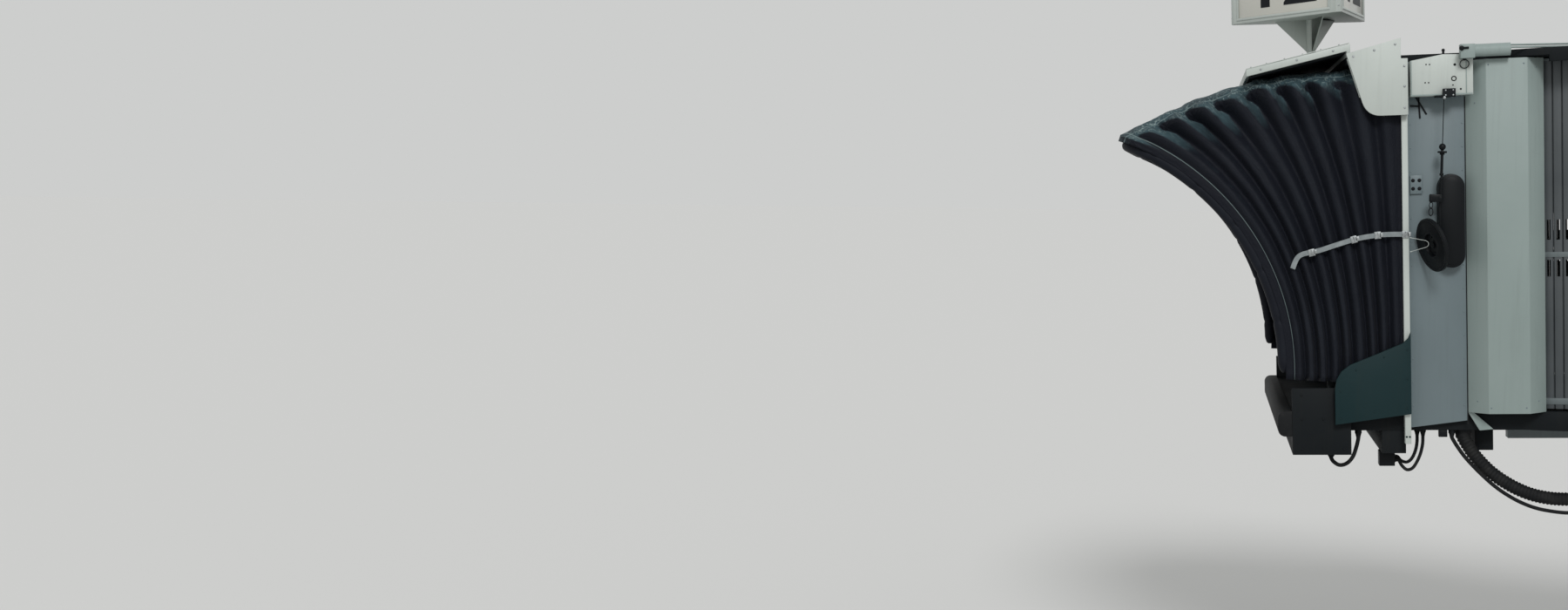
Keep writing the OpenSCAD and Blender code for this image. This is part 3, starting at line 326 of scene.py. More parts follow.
def anodised_slats(name, shade):
    """Roll-formed aluminium slats, anodised: satin, with drawing lines along each slat."""
    surface(name, {"Base Color": "tint.Result", "Roughness": "rough.Result",
                   "Normal": "bump.Normal", "Metallic": 0.35}, [
        ("place", "TexCoord", {}),
        ("drawn", "Mapping", {"Scale": (90.0, 90.0, 0.8)}),
        ("lines", "TexNoise", {"Vector": "drawn.Vector", "Scale": 1.0, "Detail": 3.0}),
        ("film", "TexNoise", {"Scale": 1.1, "Detail": 6.0}),
        ("tint", "Mix", {"Factor": "film.Fac", "A": darker(shade, 0.65),
                         "B": towards(shade, WHITE, 0.1)}),
        ("rough", "MapRange", {"Value": "lines.Fac", "To Min": 0.34, "To Max": 0.52}),
        ("bump", "Bump", {"Height": "lines.Fac", "Strength": 0.12, "Distance": 0.001}),
    ])


def acrylic_face(name, shade):
    """Opal acrylic sheet of a lit sign: smooth, with faintly yellowed patches."""
    surface(name, {"Base Color": "tint.Result", "Roughness": "rough.Result", "IOR": 1.49,
                   "Coat Weight": 0.2}, [
        ("place", "TexCoord", {}),
        ("haze", "TexNoise", {"Scale": 1.6, "Detail": 7.0}),
        ("tint", "Mix", {"Factor": "haze.Fac",
                         "A": towards(shade, linear("#B5AE98"), 0.35), "B": shade}),
        ("rough", "MapRange", {"Value": "haze.Fac", "To Min": 0.22, "To Max": 0.38}),
    ])


def moulded_plastic(name, shade, roughness=0.45):
    """Moulded ABS or vinyl film: even colour with a fine spark-eroded grain."""
    surface(name, {"Base Color": "tint.Result", "Normal": "bump.Normal", "Roughness": roughness,
                   "Specular IOR Level": 0.14}, [
        ("place", "TexCoord", {}),
        ("grain", "TexNoise", {"Scale": 320.0, "Detail": 2.0}),
        ("fade", "TexNoise", {"Scale": 2.5, "Detail": 5.0}),
        ("tint", "Mix", {"Factor": "fade.Fac", "A": shade,
                         "B": towards(shade, linear("#5B6163"), 0.03)}),
        ("bump", "Bump", {"Height": "grain.Fac", "Strength": 0.15, "Distance": 0.001}),
    ])


def studded_floor(name, shade):
    """Studded rubber floor: round studs 40 mm apart and patches of wear."""
    surface(name, {"Base Color": "tint.Result", "Normal": "bump.Normal", "Roughness": 0.62}, [
        ("place", "TexCoord", {}),
        ("studs", "TexVoronoi", {"Scale": 25.0, "Randomness": 0.0}),
        ("lift", "MapRange", {"Value": "studs.Distance", "From Min": 0.28, "From Max": 0.36,
                              "To Min": 1.0, "To Max": 0.0}),
        ("wear", "TexNoise", {"Scale": 1.4, "Detail": 6.0}),
        ("tint", "Mix", {"Factor": "wear.Fac", "A": darker(shade, 0.7),
                         "B": towards(shade, linear("#8A8A84"), 0.3)}),
        ("bump", "Bump", {"Height": "lift.Result", "Strength": 0.5, "Distance": 0.002}),
    ])


# Each finish: its usual slot, its function, its colours, and its grime, roughness and gleam
FINISHES = {
    "powder_paint_white": ("trim_white", painted_steel, "white_paint", 0.14),
    "powder_paint_panel": ("panel_grey", painted_steel, "panel_paint", 0.16),
    # the wall finish is the panel paint darkened as painted shade
    "powder_paint_wall": ("panel_grey", painted_steel, "wall_paint", 0.16),
    "enamel_steel_grey": ("steel_grey", painted_steel, "steel_paint", 0.35, 0.5, 0.4),
    "enamel_black": ("underside_black", painted_steel, "black_paint", 0.2, 0.6, 0.1),
    "gel_coat_green": ("guard_green", painted_steel, "guard_green", 0.15, 0.45, 0.12),
    "coated_canopy_cloth": ("canopy_fabric", coated_cloth, "fabric", "fabric_faded"),
    "polyester_webbing": ("strap_silver", woven_webbing, "webbing"),
    "anodised_slats": ("slat_grey", anodised_slats, "slats"),
    "epdm_rubber": ("bumper_rubber", moulded_rubber, "rubber"),
    "tyre_rubber": ("tyre_rubber", moulded_rubber, "#17181A", 0.82),
    "zinc_steel": ("steel_grey", zinc_steel, "#9A9FA0"),
    "opal_acrylic": ("sign_white", acrylic_face, "sign_face"),
    "vinyl_digits": ("fitting_black", moulded_plastic, "digits", 0.5),
    "black_abs": ("fitting_black", moulded_plastic, "#0A0D10", 0.42),
    "white_cable": ("trim_white", moulded_plastic, "#BCC2BE", 0.4),
    "studded_rubber": ("floor_grey", studded_floor, "#3C4144"),
}


def finish_named(name):
    """The material of that name, made when it is first asked for."""
    if name not in bpy.data.materials:
        colours = bpy.context.scene.bridge_colours
        _, maker, *values = FINISHES[name]
        maker(name, *(value if isinstance(value, float) else
                      linear(value) if value[0] == "#" else list(getattr(colours, value))
                      for value in values))
    return bpy.data.materials[name]


# Making pieces


def clamp(value, low=0.0, high=1.0):
    return max(low, min(high, value))


def bell(distance, width):
    return exp(-(distance / width) ** 2)


def ring_points(radius, count, z=0.0, start=0.0):
    """Points on a circle about z, from start steps on."""
    angles = (2 * pi * (k + start) / count for k in range(count))
    return [Vector((radius * cos(a), radius * sin(a), z)) for a in angles]


def pick(obj):
    """obj alone is selected and active."""
    bpy.ops.object.select_all(action="DESELECT")
    obj.select_set(True)
    bpy.context.view_layer.objects.active = obj
    return obj


def modified(obj, kind, **settings):
    """obj with a modifier applied."""
    modifier = obj.modifiers.new(kind, kind)
    for key, value in settings.items():
        setattr(modifier, key, value)
    pick(obj)
    bpy.ops.object.modifier_apply(modifier=modifier.name)
    return obj


def ease(obj, width):
    """obj with its sharp edges rounded."""
    return modified(obj, "BEVEL", width=width, segments=2, limit_method="ANGLE",
                    angle_limit=radians(35)) if width else obj


def linked(name, mesh, place=WORLD):
    """A new object for a mesh that is moved to its place."""
    obj = bpy.data.objects.new(name, mesh)
    mesh.transform(place)
    bpy.context.scene.collection.objects.link(obj)
    return obj


def started(edge=0.0):
    """The primitive just added, with its place in its mesh and its edges eased."""
    bpy.ops.object.transform_apply(location=True, rotation=True, scale=True)
    return ease(bpy.context.object, edge)


def box(x0, x1, y0, y1, z0, z1, edge=0.003):
    bpy.ops.mesh.primitive_cube_add(
        size=1, location=((x0 + x1) / 2, (y0 + y1) / 2, (z0 + z1) / 2),
        scale=(x1 - x0, y1 - y0, z1 - z0))
    return started(edge)


def aim(axis):
    return UP.rotation_difference(Vector(axis).normalized())


def rod(a, b, radius, edge=0.0, vertices=24):
    a, b = Vector(a), Vector(b)
    bpy.ops.mesh.primitive_cylinder_add(
        vertices=vertices, radius=radius, depth=(b - a).length, location=(a + b) / 2,
        rotation=aim(b - a).to_euler())
    return started(edge)


def pin(x, z, y0, y1, radius, edge=0.0, vertices=24):
    """A rod across the bridge."""
    return rod((x, y0, z), (x, y1, z), radius, edge, vertices)


def stem(z0, z1, radius, edge=0.0, vertices=24):
    """An upright rod at the origin."""
    return rod((0, 0, z0), (0, 0, z1), radius, edge, vertices)


def ball(centre, radius, squeeze=1.0):
    bpy.ops.mesh.primitive_uv_sphere_add(
        segments=24, ring_count=14, radius=radius, location=centre, scale=(1, 1, squeeze))
    return started()


def ring(x, y, z, radius, thickness):
    """A ring that faces outwards."""
    bpy.ops.mesh.primitive_torus_add(
        location=(x, y, z), rotation=aim(OUT).to_euler(), major_radius=radius,
        minor_radius=thickness, major_segments=32, minor_segments=10)
    return started()


def profile(points, fill="NOTHING"):
    """A closed line through the points, as a mesh."""
    bpy.ops.mesh.primitive_circle_add(vertices=len(points), radius=1, fill_type=fill)
    obj = bpy.context.object
    for vertex, point in zip(obj.data.vertices, points):
        vertex.co = point
    return obj


def plate(outline, y0, y1, edge=0.003):
    """A flat piece with an outline in x and z, from y0 to y1."""
    obj = profile([(x, y0, z) for x, z in outline], "NGON")
    bpy.ops.object.mode_set(mode="EDIT")
    bpy.ops.mesh.select_all(action="SELECT")
    bpy.ops.mesh.extrude_region_move(TRANSFORM_OT_translate={"value": (0, y1 - y0, 0)})
    bpy.ops.mesh.select_all(action="SELECT")
    bpy.ops.mesh.normals_make_consistent(inside=False)
    bpy.ops.object.mode_set(mode="OBJECT")
    return ease(obj, edge)


def spun(obj, steps, degrees):
    """The line in obj turned about z, with its seam closed and its faces outwards."""
    bpy.ops.object.mode_set(mode="EDIT")
    bpy.ops.mesh.select_all(action="SELECT")
    bpy.ops.mesh.spin(steps=steps, angle=radians(degrees), center=(0, 0, 0), axis=(0, 0, 1))
    bpy.ops.mesh.select_all(action="SELECT")
    bpy.ops.mesh.remove_doubles(threshold=0.0001)
    bpy.ops.mesh.normals_make_consistent(inside=False)
    bpy.ops.object.mode_set(mode="OBJECT")
    return obj


def turned(outline, steps):
    """A ring-shaped body from an outline of radius and height, about z."""
    return spun(profile([(r, 0, z) for r, z in outline]), steps, 360)


def step_along(path, i):
    return (path[min(i + 1, len(path) - 1)] - path[max(i - 1, 0)]).normalized()


def skin(bm, rows, at=None, closed=False):
    """Faces between rows of vertices. at gives the UV of a row and a column."""
    uv = bm.loops.layers.uv.new("Cut") if at else None
    for i, (a, b) in enumerate(zip(rows, rows[1:])):
        for j in range(len(a) if closed else len(a) - 1):
            n = (j + 1) % len(a)
            face = bm.faces.new((a[j], a[n], b[n], b[j]))
            face.smooth = True
            if at:
                corners = ((i, j), (i, j + 1), (i + 1, j + 1), (i + 1, j))
                for loop, corner in zip(face.loops, corners):
                    loop[uv].uv = at(*corner)


def meshed(bm, name):
    """The object made of a bmesh."""
    mesh = bpy.data.meshes.new(name)
    bm.to_mesh(mesh)
    bm.free()
    return linked(name, mesh)


def tube_mesh(name, route, radius, sides=12, smooth=4, rib=0.0, rib_pitch=0.03):
    """A round tube along a smoothed route, its path and its length."""
    path = smooth_route(route, smooth)
    length = sum((b - a).length for a, b in zip(path, path[1:]))
    if rib:
        path = even_route(path, rib_pitch / 4)
    bm = bmesh.new()
    rings, up = [], OUT
    for i, p in enumerate(path):
        along = step_along(path, i)
        up = (up - along * up.dot(along)).normalized()
        side = along.cross(up)
        r = radius - (rib if i % 4 in (2, 3) else 0.0)
        angles = (2 * pi * k / sides for k in range(sides))
        rings.append([bm.verts.new(p + (up * cos(a) + side * sin(a)) * r) for a in angles])
    skin(bm, rings, closed=True)
    bm.faces.new(list(reversed(rings[0])))
    bm.faces.new(rings[-1])
    bmesh.ops.recalc_face_normals(bm, faces=bm.faces)
    obj = meshed(bm, name)
    obj.data.shade_smooth()
    return obj, path, length


def smooth_route(route, steps):
    """A route through the same points with smooth curves between them."""
    points = [Vector(p) for p in route]
    out = []
    for i in range(len(points) - 1):
        before, a = points[max(i - 1, 0)], points[i]
        b, after = points[i + 1], points[min(i + 2, len(points) - 1)]
        for t in (k / steps for k in range(steps)):
            out.append(0.5 * (2 * a + (b - before) * t
                              + (2 * before - 5 * a + 4 * b - after) * t * t
                              + (3 * a - before - 3 * b + after) * t ** 3))
    return out + [points[-1]]


def even_route(path, step):
    """The same path with points a step apart."""
    out, carried = [path[0]], 0.0
    for a, b in zip(path, path[1:]):
        length = (b - a).length
        at = step - carried
        while at <= length:
            out.append(a.lerp(b, at / length))
            at += step
        carried = length - (at - step)
    if (out[-1] - path[-1]).length > step / 3:
        out.append(path[-1])
    return out


def joined(parts):
    pick(parts[0])
    for part in parts[1:]:
        part.select_set(True)
    if len(parts) > 1:
        bpy.ops.object.join()
    return bpy.context.object


def settle(parts, name, finish, slot=None, body="cab", where=CAB, smooth=35):
    """Joins a piece's parts, puts them where the real piece is, and gives them their finish; the
    slot is worked out but not used. A piece that bends between two bodies has no body of its own."""
    obj = joined(parts if isinstance(parts, list) else [parts])
    obj.data.transform(where)
    obj.data.name = obj.name = name
    obj.data.materials.clear()
    obj.data.materials.append(finish_named(finish))
    pick(obj)
    if smooth:
        bpy.ops.object.shade_smooth_by_angle(angle=radians(smooth))
    if body:
        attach(obj, body)
    slot or FINISHES[finish][0]
    return obj


def copies(obj, places):
    """obj at each place, each copy with its own mesh; obj itself is removed."""
    out = [linked(obj.name, obj.data.copy(), place) for place in places]
    bpy.data.objects.remove(obj)
    return out


def mirrored(obj):
    """obj turned into its mirror image across the middle of the bridge."""
    obj.data.transform(MIRROR)
    obj.data.flip_normals()
    return obj


def both_sides(parts):
    """The parts and their mirror images."""
    return list(parts) + [mirrored(linked(part.name, part.data.copy())) for part in parts]


def facing(point, axis):
    """A place at a point, with its z along an axis."""
    return shift(point) @ aim(axis).to_matrix().to_4x4()


def outward(y, spots):
    """Places that face outwards, at spots of x and z."""
    return [facing((x, y, z), OUT) for x, z in spots]


def bolt(radius):
    """A hexagon bolt with its washer, standing on z = 0."""
    return joined([stem(0, radius * 0.2, radius * 1.45, vertices=14),
                   stem(radius * 0.2, radius * 0.95, radius, radius * 0.12, 6)])


def fasten(name, radius, places, mirror=True, body="cab", where=CAB, finish="zinc_steel",
           slot=None):
    """Bolts at places on one side of the bridge, or also at their mirror images."""
    bolts = copies(bolt(radius), places)
    settle(both_sides(bolts) if mirror else bolts, name, finish, slot, body, where)


# CAD nodes that keep their shape: finish, eased edge in metres, names, and a slot of their own
KEPT_NODES = [
    ("powder_paint_panel", 0.004,
     "rotunda_column rotunda_roof tunnel_a_wall_left tunnel_a_wall_right tunnel_a_roof "
     "tunnel_b_wall_left tunnel_b_wall_right tunnel_b_roof lift_column_left lift_column_right "
     "curtain_housings"),
    ("powder_paint_panel", 0.0015, "roof_actuator"),
    ("powder_paint_wall", 0.003, "cab_wall_left cab_wall_right outlet_plate"),
    ("powder_paint_white", 0.004,
     "terminal_frame tunnel_portal tunnel_b_rear_frame tunnel_b_front_frame front_frame "
     "hood_roof"),
    ("powder_paint_white", 0.002, "sign_stand"),
    ("powder_paint_white", 0.003, "fascia_boxes", "panel_grey"),
    ("powder_paint_white", 0.004, "gate_sign", "sign_white"),
    ("enamel_steel_grey", 0.004, "rotunda_floor slew_support"),
    ("enamel_steel_grey", 0.005, "wheel_bogie"),
    ("enamel_steel_grey", 0.006, "drive_beam"),
    ("enamel_black", 0.003, "cab_floor cab_roof front_platform"),
    ("enamel_black", 0.004, "floor_beams"),
    ("enamel_black", 0.002, "hoist_bracket", "fitting_black"),
    ("enamel_black", 0.0, "canopy_hoop", "steel_grey"),
    ("zinc_steel", 0.003, "canopy_arms"),
    ("gel_coat_green", 0.003, "lower_guards"),
    ("studded_rubber", 0.003, "tunnel_a_floor tunnel_b_floor"),
    ("studded_rubber", 0.0, "floor_ramp"),
    ("epdm_rubber", 0.004, "rotunda_gasket bumper"),
    ("black_abs", 0.003, "tunnel_slides cable_glands"),
    ("black_abs", 0.004, "junction_boxes"),
    ("black_abs", 0.008, "reel_housing"),
]


class BRIDGE_OT_shell(bpy.types.Operator):
    """Gives the plain solids eased edges and their painted, rubber or metal finish"""
    bl_idname = "bridge.shell"
    bl_label = "Shell and frames"

    def execute(self, context):
        kept = [(node, finish, edge, slot) for finish, edge, nodes, *slot in KEPT_NODES
                for node in nodes.split()]
        for node, finish, edge, slot in kept:
            source = frame["nodes"][node]
            obj = pick(linked(node + "_made", source.data.copy()))
            bpy.ops.object.mode_set(mode="EDIT")
            bpy.ops.mesh.select_all(action="SELECT")
            bpy.ops.mesh.remove_doubles(threshold=0.00005)
            bpy.ops.mesh.dissolve_limited(angle_limit=radians(0.6))
            bpy.ops.object.mode_set(mode="OBJECT")
            settle(ease(obj, edge), node + "_made", finish, *slot, body=source["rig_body"],
                   where=WORLD, smooth=32)
            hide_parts(node)
        return {"FINISHED"}


# The canopy: its frame, the circle it closes against, and the counts of the cloth's points


FRAME_X, FABRIC_Z, FABRIC_TOP, HALF = 0.0503, 0.3, 2.925, 1.64
SKIN_X, SKIN_Z = 3.18, 0.4
PAD_LINE, FABRIC_LINE = 2.14, 2.2103
ARC_LOW, ARC_HIGH = -1.2, 69.5
SHOULDER, CROWN, BULGE, HOOP_Y = 0.26, 0.015, 0.2, 1.568
SIDE_STEPS, CORNER_STEPS, TOP_STEPS, PLEAT_STEPS = 42, 26, 36, 18
HEM_LAPS = (0.014, 0.028, 0.042, 0.056)
SEAM_AT = 0.58
STRAP_HALF, STRAP_Y = 0.021, 1.6838


def on_skin(radius, degrees):
    a = radians(degrees)
    return SKIN_X - radius * cos(a), SKIN_Z + radius * sin(a)


def across_canopy(obj):
    """Bakes the place of a piece between the cab and the hoop into its mesh."""
    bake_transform(obj)


def side_line(t, s, lap):
    """Side outline of the cloth: t from the frame to the hoop, s from the hem to the top, and how
    far the hem laps over the pads."""
    front = on_skin(FABRIC_LINE - lap, ARC_LOW + s * (ARC_HIGH - ARC_LOW))
    rear_z = FABRIC_Z + s * (FABRIC_TOP - FABRIC_Z)
    return ((1 - t) * FRAME_X + t * front[0],
            (1 - t) * rear_z + t * front[1] + BULGE * s * s * sin(pi * t))


def half_arch(t, lap):
    """Up one side, round the shoulder and to the middle: each point, its outward direction, how
    far round the bend it is, and its height."""
    turn_share = SHOULDER / (FABRIC_TOP - FABRIC_Z)
    out = []
    for s in (j / SIDE_STEPS * (1 - turn_share) for j in range(-1, SIDE_STEPS)):
        x, z = side_line(t, s, lap)
        out.append((Vector((x, HALF, z)), OUT, 0.0, s))
    for j in range(CORNER_STEPS + 1):
        a = 0.5 * pi * j / CORNER_STEPS
        x, z = side_line(t, 1 - turn_share * (1 - sin(a)), lap)
        out.append((Vector((x, HALF - SHOULDER + SHOULDER * cos(a), z)),
                    Vector((0, cos(a), sin(a))), a / (0.5 * pi), 1.0))
    x, z = side_line(t, 1.0, lap)
    for share in (j / TOP_STEPS for j in range(1, TOP_STEPS + 1)):
        y = (HALF - SHOULDER) * (1 - share)
        out.append((Vector((x, y, z + CROWN * (1 - (1 - share) ** 2))), UP, 1.0 + share, 1.0))
    return out


def cloth_point(sizes, t, lap, side, spot):
    """A point of the pleated cloth, and its shares of a ridge and of the gathers."""
    p, out, bend, s = spot
    p, out = Vector((p.x, p.y * side, p.z)), Vector((out.x, out.y * side, out.z))
    wander = noise.noise(Vector((0, p.y * 0.7, p.z * 0.8 + 4.0))) * 0.45
    own = noise.noise(Vector((t * sizes.pleats * 0.9, p.y * 0.25, 7.0)))
    drift = noise.noise(Vector((t * 5.0, p.z * 0.35, 3.0 + side)))
    halves = 2 * sizes.pleats
    phase = pi * (halves * t) + (wander * 1.2 + drift * 1.6) * sin(pi * t)
    taper = min(1.0, t * halves * 0.7, (1 - t) * halves * 0.7)
    # round ridges and narrow valleys
    wave = 1.0 - 2.0 * (0.5 + 0.5 * cos(phase)) ** 1.35
    ridge = 0.5 + 0.5 * wave
    below = (0.3 - bend) * SHOULDER * 1.57 if bend else 0.12 + (0.9 - s) * 2.6
    corner = bell(bend - 0.3, 0.2) if bend > 0.3 else bell(below, 0.24)
    shoulder = bell(bend - 0.62, 0.4)
    top = clamp((bend - 0.3) / 0.35)
    # each ridge stands up to a peak at the corner, each valley is drawn in under it, and the
    # top is slack
    depth = sizes.pleat_depth * (0.95 + 0.55 * own) * (1.0 - 0.78 * top)
    peak = (0.052 * ridge - 0.08 * (1.0 - ridge)) * (1.0 + 0.9 * own) * (0.22 + 0.78 * corner) \
        * (1.0 - top) * min(1.0, 0.25 + 1.3 * t)
    # gathers that fan from the peaks, folds along the top and small creases all over
    fan = noise.ridged_multi_fractal(
        Vector((p.x * 7.0, p.y * 2.2 + bend * 1.2, p.z * 2.2)), 1.0, 2.1, 4, 1.0, 2.0)
    along = noise.ridged_multi_fractal(
        Vector((p.x * 1.6 + 3.0, p.y * 7.5, p.z * 1.5)), 1.0, 2.2, 3, 1.0, 2.0)
    drape = noise.noise(Vector((p.x * 5.5, p.y * 1.2, p.z * 0.9)))
    small = noise.noise(Vector((p.x * 14.0, p.y * 5.0, p.z * 2.6 + 9.0)))
    move = (depth * wave + peak + 0.016 * drape + 0.007 * small) * taper
    move += sizes.crumple * ((fan - 1.3) * shoulder + 0.8 * (along - 1.3) * top) * taper
    # the strap draws the sides in
    if bend == 0:
        pull = bell(p.z - (1.53 - 0.28 * max(0.0, p.x - 0.3)), 0.16) * clamp((1.25 - p.x) / 0.5)
        move -= 0.018 * pull * taper
    # the hem hangs loose over the pads
    move += (0.1 * drape - 0.05) * lap
    move = clamp(move, -0.11, 0.03 + 0.085 * corner)
    return p + out * move, 0.5 + 0.5 * wave * taper, max(shoulder, 0.12)


class BRIDGE_OT_bellows(bpy.types.Operator):
    """Pleated canopy cloth between the cab's front frame and the hoop"""
    bl_idname = "bridge.bellows"
    bl_label = "Canopy bellows"

    def execute(self, context):
        sizes = context.scene.bridge_sizes
        columns = sizes.pleats * PLEAT_STEPS
        bm = bmesh.new()
        ridge, shoulder, seam, gather = (
            bm.verts.layers.float.new(name) for name in ("ridge", "shoulder", "seam", "gather"))
        rows = []
        stations = [(i / columns, 0.0) for i in range(columns + 1)] + [(1.0, v) for v in HEM_LAPS]
        for t, lap in stations:
            half = half_arch(t, lap)
            rows.append([])
            for side, spot in [(1, v) for v in half] + [(-1, v) for v in half[-2::-1]]:
                place, ridged, gathered = cloth_point(sizes, t, lap, side, spot)
                vertex = bm.verts.new(place)
                vertex[ridge], vertex[gather] = ridged, gathered
                rows[-1].append(vertex)
        middle = rows[columns // 2]
        lengths = [0.0]
        for a, b in zip(middle, middle[1:]):
            lengths.append(lengths[-1] + (b.co - a.co).length)
        width = lengths[-1]
        seam_at = lengths[SIDE_STEPS + 1 + round(CORNER_STEPS * SEAM_AT)]
        skin(bm, rows, lambda i, j: (i / columns * 2.4, lengths[j]))
        bmesh.ops.recalc_face_normals(bm, faces=bm.faces)
        bm.normal_update()
        # what faces up is painted lighter as painted sky light, most of all near the top; seams run
        # along the shoulders and down the hems
        sky = 1.0 if middle[len(middle) // 2].normal.z > 0 else -1.0
        for i, row in enumerate(rows):
            for vertex, at in zip(row, lengths):
                high = clamp((min(at, width - at) - seam_at + 0.55) / 0.3)
                open_sky = clamp((sky * vertex.normal.z - 0.08) / 0.45)
                vertex[shoulder] = open_sky * (0.28 + 0.72 * high)
                vertex[seam] = min(abs(at - seam_at), abs(width - at - seam_at),
                                   0.015 * abs(i - columns + 3))
        area = sum(face.calc_area() for face in bm.faces)
        obj = modified(meshed(bm, "canopy_cloth"), "SOLIDIFY", thickness=0.004, offset=0.0)
        settle(obj, "canopy_cloth", "coated_canopy_cloth", body=None, smooth=0)
        obj.data.shade_smooth()
        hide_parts("canopy_bellows")
        across_canopy(obj)
        return {"FINISHED"}


def hoop_path(radius, y):
    """The line of the hoop or the pads: up one side, over the top and down the other."""
    steps, corner, end = 34, 0.23, ARC_HIGH - 10
    half = []
    for j in range(steps + 1):
        x, z = on_skin(radius, ARC_LOW + j * (end - ARC_LOW) / steps)
        half.append(Vector((x, y, z)))
    for a in (0.5 * pi * j / 8 for j in range(1, 9)):
        x, z = on_skin(radius, end + 7.5 * sin(a))
        half.append(Vector((x, y - corner + corner * cos(a), z)))
    last = half[-1]
    across = [Vector((last.x, last.y * (1 - k / 14), last.z)) for k in range(1, 14)]
    return half + across + [Vector((p.x, -p.y, p.z)) for p in reversed(half)]


class BRIDGE_OT_pads(bpy.types.Operator):
    """Foam pads along the canopy's edge, sewn in sections"""
    bl_idname = "bridge.pads"
    bl_label = "Canopy pads"

    def execute(self, context):
        step, section, sides = 0.02, 0.46, 20
        path = even_route(hoop_path(PAD_LINE, HOOP_Y + 0.02), step)
        bm = bmesh.new()
        ridge, _, seam = (bm.verts.layers.float.new(name) for name in ("ridge", "shoulder", "seam"))
        rings = []
        for i, p in enumerate(path):
            along = step_along(path, i)
            inward = Vector((SKIN_X - p.x, 0, SKIN_Z - p.z))
            inward = (inward - along * inward.dot(along)).normalized()
            side = along.cross(inward)
            at = (i * step) % section / section
            stitch = 1.0 - 0.16 * bell(min(at, 1 - at), 0.045)
            puff = noise.noise(p * 6.0) * 0.02
            to_end = min(i, len(path) - 1 - i)
            end = min(1.0, 0.35 + 0.65 * sqrt(to_end / 4)) if to_end < 4 else 1.0
            rings.append([])
            for a in (2 * pi * k / sides for k in range(sides)):
                c, s = cos(a), sin(a)
                # squarer in front, round at the back
                r = 0.054 * stitch * end * (1.0 + puff) * (1.0 - 0.05 * max(0.0, c))
                vertex = bm.verts.new(p + inward * c * r + side * s * r)
                # one side of each pad gets a higher ridge share, so it is painted lighter: a
                # painted highlight
                vertex[ridge], vertex[seam] = 0.5 + 0.4 * s, 1.0
                rings[-1].append(vertex)
        skin(bm, rings, lambda i, j: (i * step, j * 0.017), closed=True)
        bm.faces.new(rings[0])
        bm.faces.new(rings[-1])
        bmesh.ops.recalc_face_normals(bm, faces=bm.faces)
        obj = settle(meshed(bm, "canopy_pad_cover"), "canopy_pad_cover", "coated_canopy_cloth",
                     "pad_foam", "canopy", smooth=60)
        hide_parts("canopy_pads")
        return {"FINISHED"}


# x and z of the strap in the cab's frame, and x, z and lean of its buckles
STRAP_ROUTE = [(0.01, 1.53), (0.12, 1.534), (0.25, 1.53), (0.42, 1.505), (0.58, 1.46),
               (0.74, 1.41), (0.9, 1.37), (0.96, 1.26)]
BUCKLES = [(0.03, 1.531, 0), (0.255, 1.529, 4), (0.45, 1.498, 14), (0.8, 1.394, 13)]


class BRIDGE_OT_straps(bpy.types.Operator):
    """Silver tie straps with buckles round both sides of the canopy"""
    bl_idname = "bridge.straps"
    bl_label = "Tie straps"

    def execute(self, context):
        route = smooth_route([(x, STRAP_Y, z) for x, z in STRAP_ROUTE], 8)
        bm = bmesh.new()
        rows, lengths = [], [0.0]
        for i, p in enumerate(route):
            along = step_along(route, i)
            across = Vector((-along.z, 0, along.x)) * STRAP_HALF
            if i:
                lengths.append(lengths[-1] + (p - route[i - 1]).length)
            twist = Vector((0, 0.0022 * sin(i * 0.55), 0))
            rows.append((bm.verts.new(p + across + twist), bm.verts.new(p - across - twist)))
        skin(bm, rows, lambda i, j: (2 * STRAP_HALF * j, lengths[i]))
        strap = modified(meshed(bm, "tie_strap"), "SOLIDIFY", thickness=0.0025, offset=0.0)
        clips = []
        for x, z, lean in BUCKLES:
            clip = joined([box(-0.026, 0.026, -0.003, 0.004, -0.03, 0.03, 0.0015),
                           rod((0, 0.006, -0.024), (0, 0.006, 0.024), 0.004, vertices=12),
                           box(-0.045, -0.018, 0.0, 0.004, -0.018, 0.018, 0.001)])
            clip.data.transform(shift((x, 1.6865, z)) @ turn(lean, "Y"))
            clips.append(clip)
        straps, buckles = both_sides([strap]), both_sides([joined(clips)])
        for side, obj, buckle in zip(("left", "right"), straps, buckles):
            settle(obj, "tie_strap_" + side, "polyester_webbing", body=None)
            settle(buckle, "strap_buckles_" + side, "zinc_steel", "strap_silver", None)
            if side == "left":
                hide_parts("canopy_straps")
            across_canopy(obj)
            across_canopy(buckle)
        return {"FINISHED"}


# Sheet metal of the cab's front


def curve_between(a, knee, b):
    """A rounded corner from a to b round a knee."""
    return [tuple((1 - t) ** 2 * p + 2 * t * (1 - t) * k + t * t * q
                  for p, k, q in zip(a, knee, b)) for t in (i / 10 for i in range(11))]


class BRIDGE_OT_shields(bpy.types.Operator):
    """White shields beside the hood, each one folded sheet with a rounded lower corner"""
    bl_idname = "bridge.shields"
    bl_label = "Side shields"

    def execute(self, context):
        edge = context.scene.bridge_sizes.edge
        outline = [(0.0, 3.015), (0.0, 2.54),
                   *curve_between((0.215, 2.54), (0.345, 2.54), (0.378, 2.68)),
                   (0.499, 3.075), (0.055, 3.188), (0.055, 3.015)]
        parts = [plate(outline, HOUSING_Y - 0.029, HOUSING_Y, edge * 1.6),
                 plate([(0.378, 2.7), (0.392, 2.7), (0.492, 3.03), (0.478, 3.03)],
                       HOUSING_Y - 0.05, HOUSING_Y - 0.028, edge),
                 box(0.001, 0.029, WALL_Y + 0.081, HOUSING_Y - 0.028, 2.541, 2.989, edge)]
        obj = settle(both_sides(parts), "side_shields_made", "powder_paint_white")
        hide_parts("side_shields")
        screws = ((0.028, 2.6), (0.028, 2.78), (0.028, 2.95), (0.1, 3.135), (0.27, 3.092),
                  (0.44, 3.048))
        fasten("shield_screws", 0.007, outward(HOUSING_Y, screws))
        return {"FINISHED"}


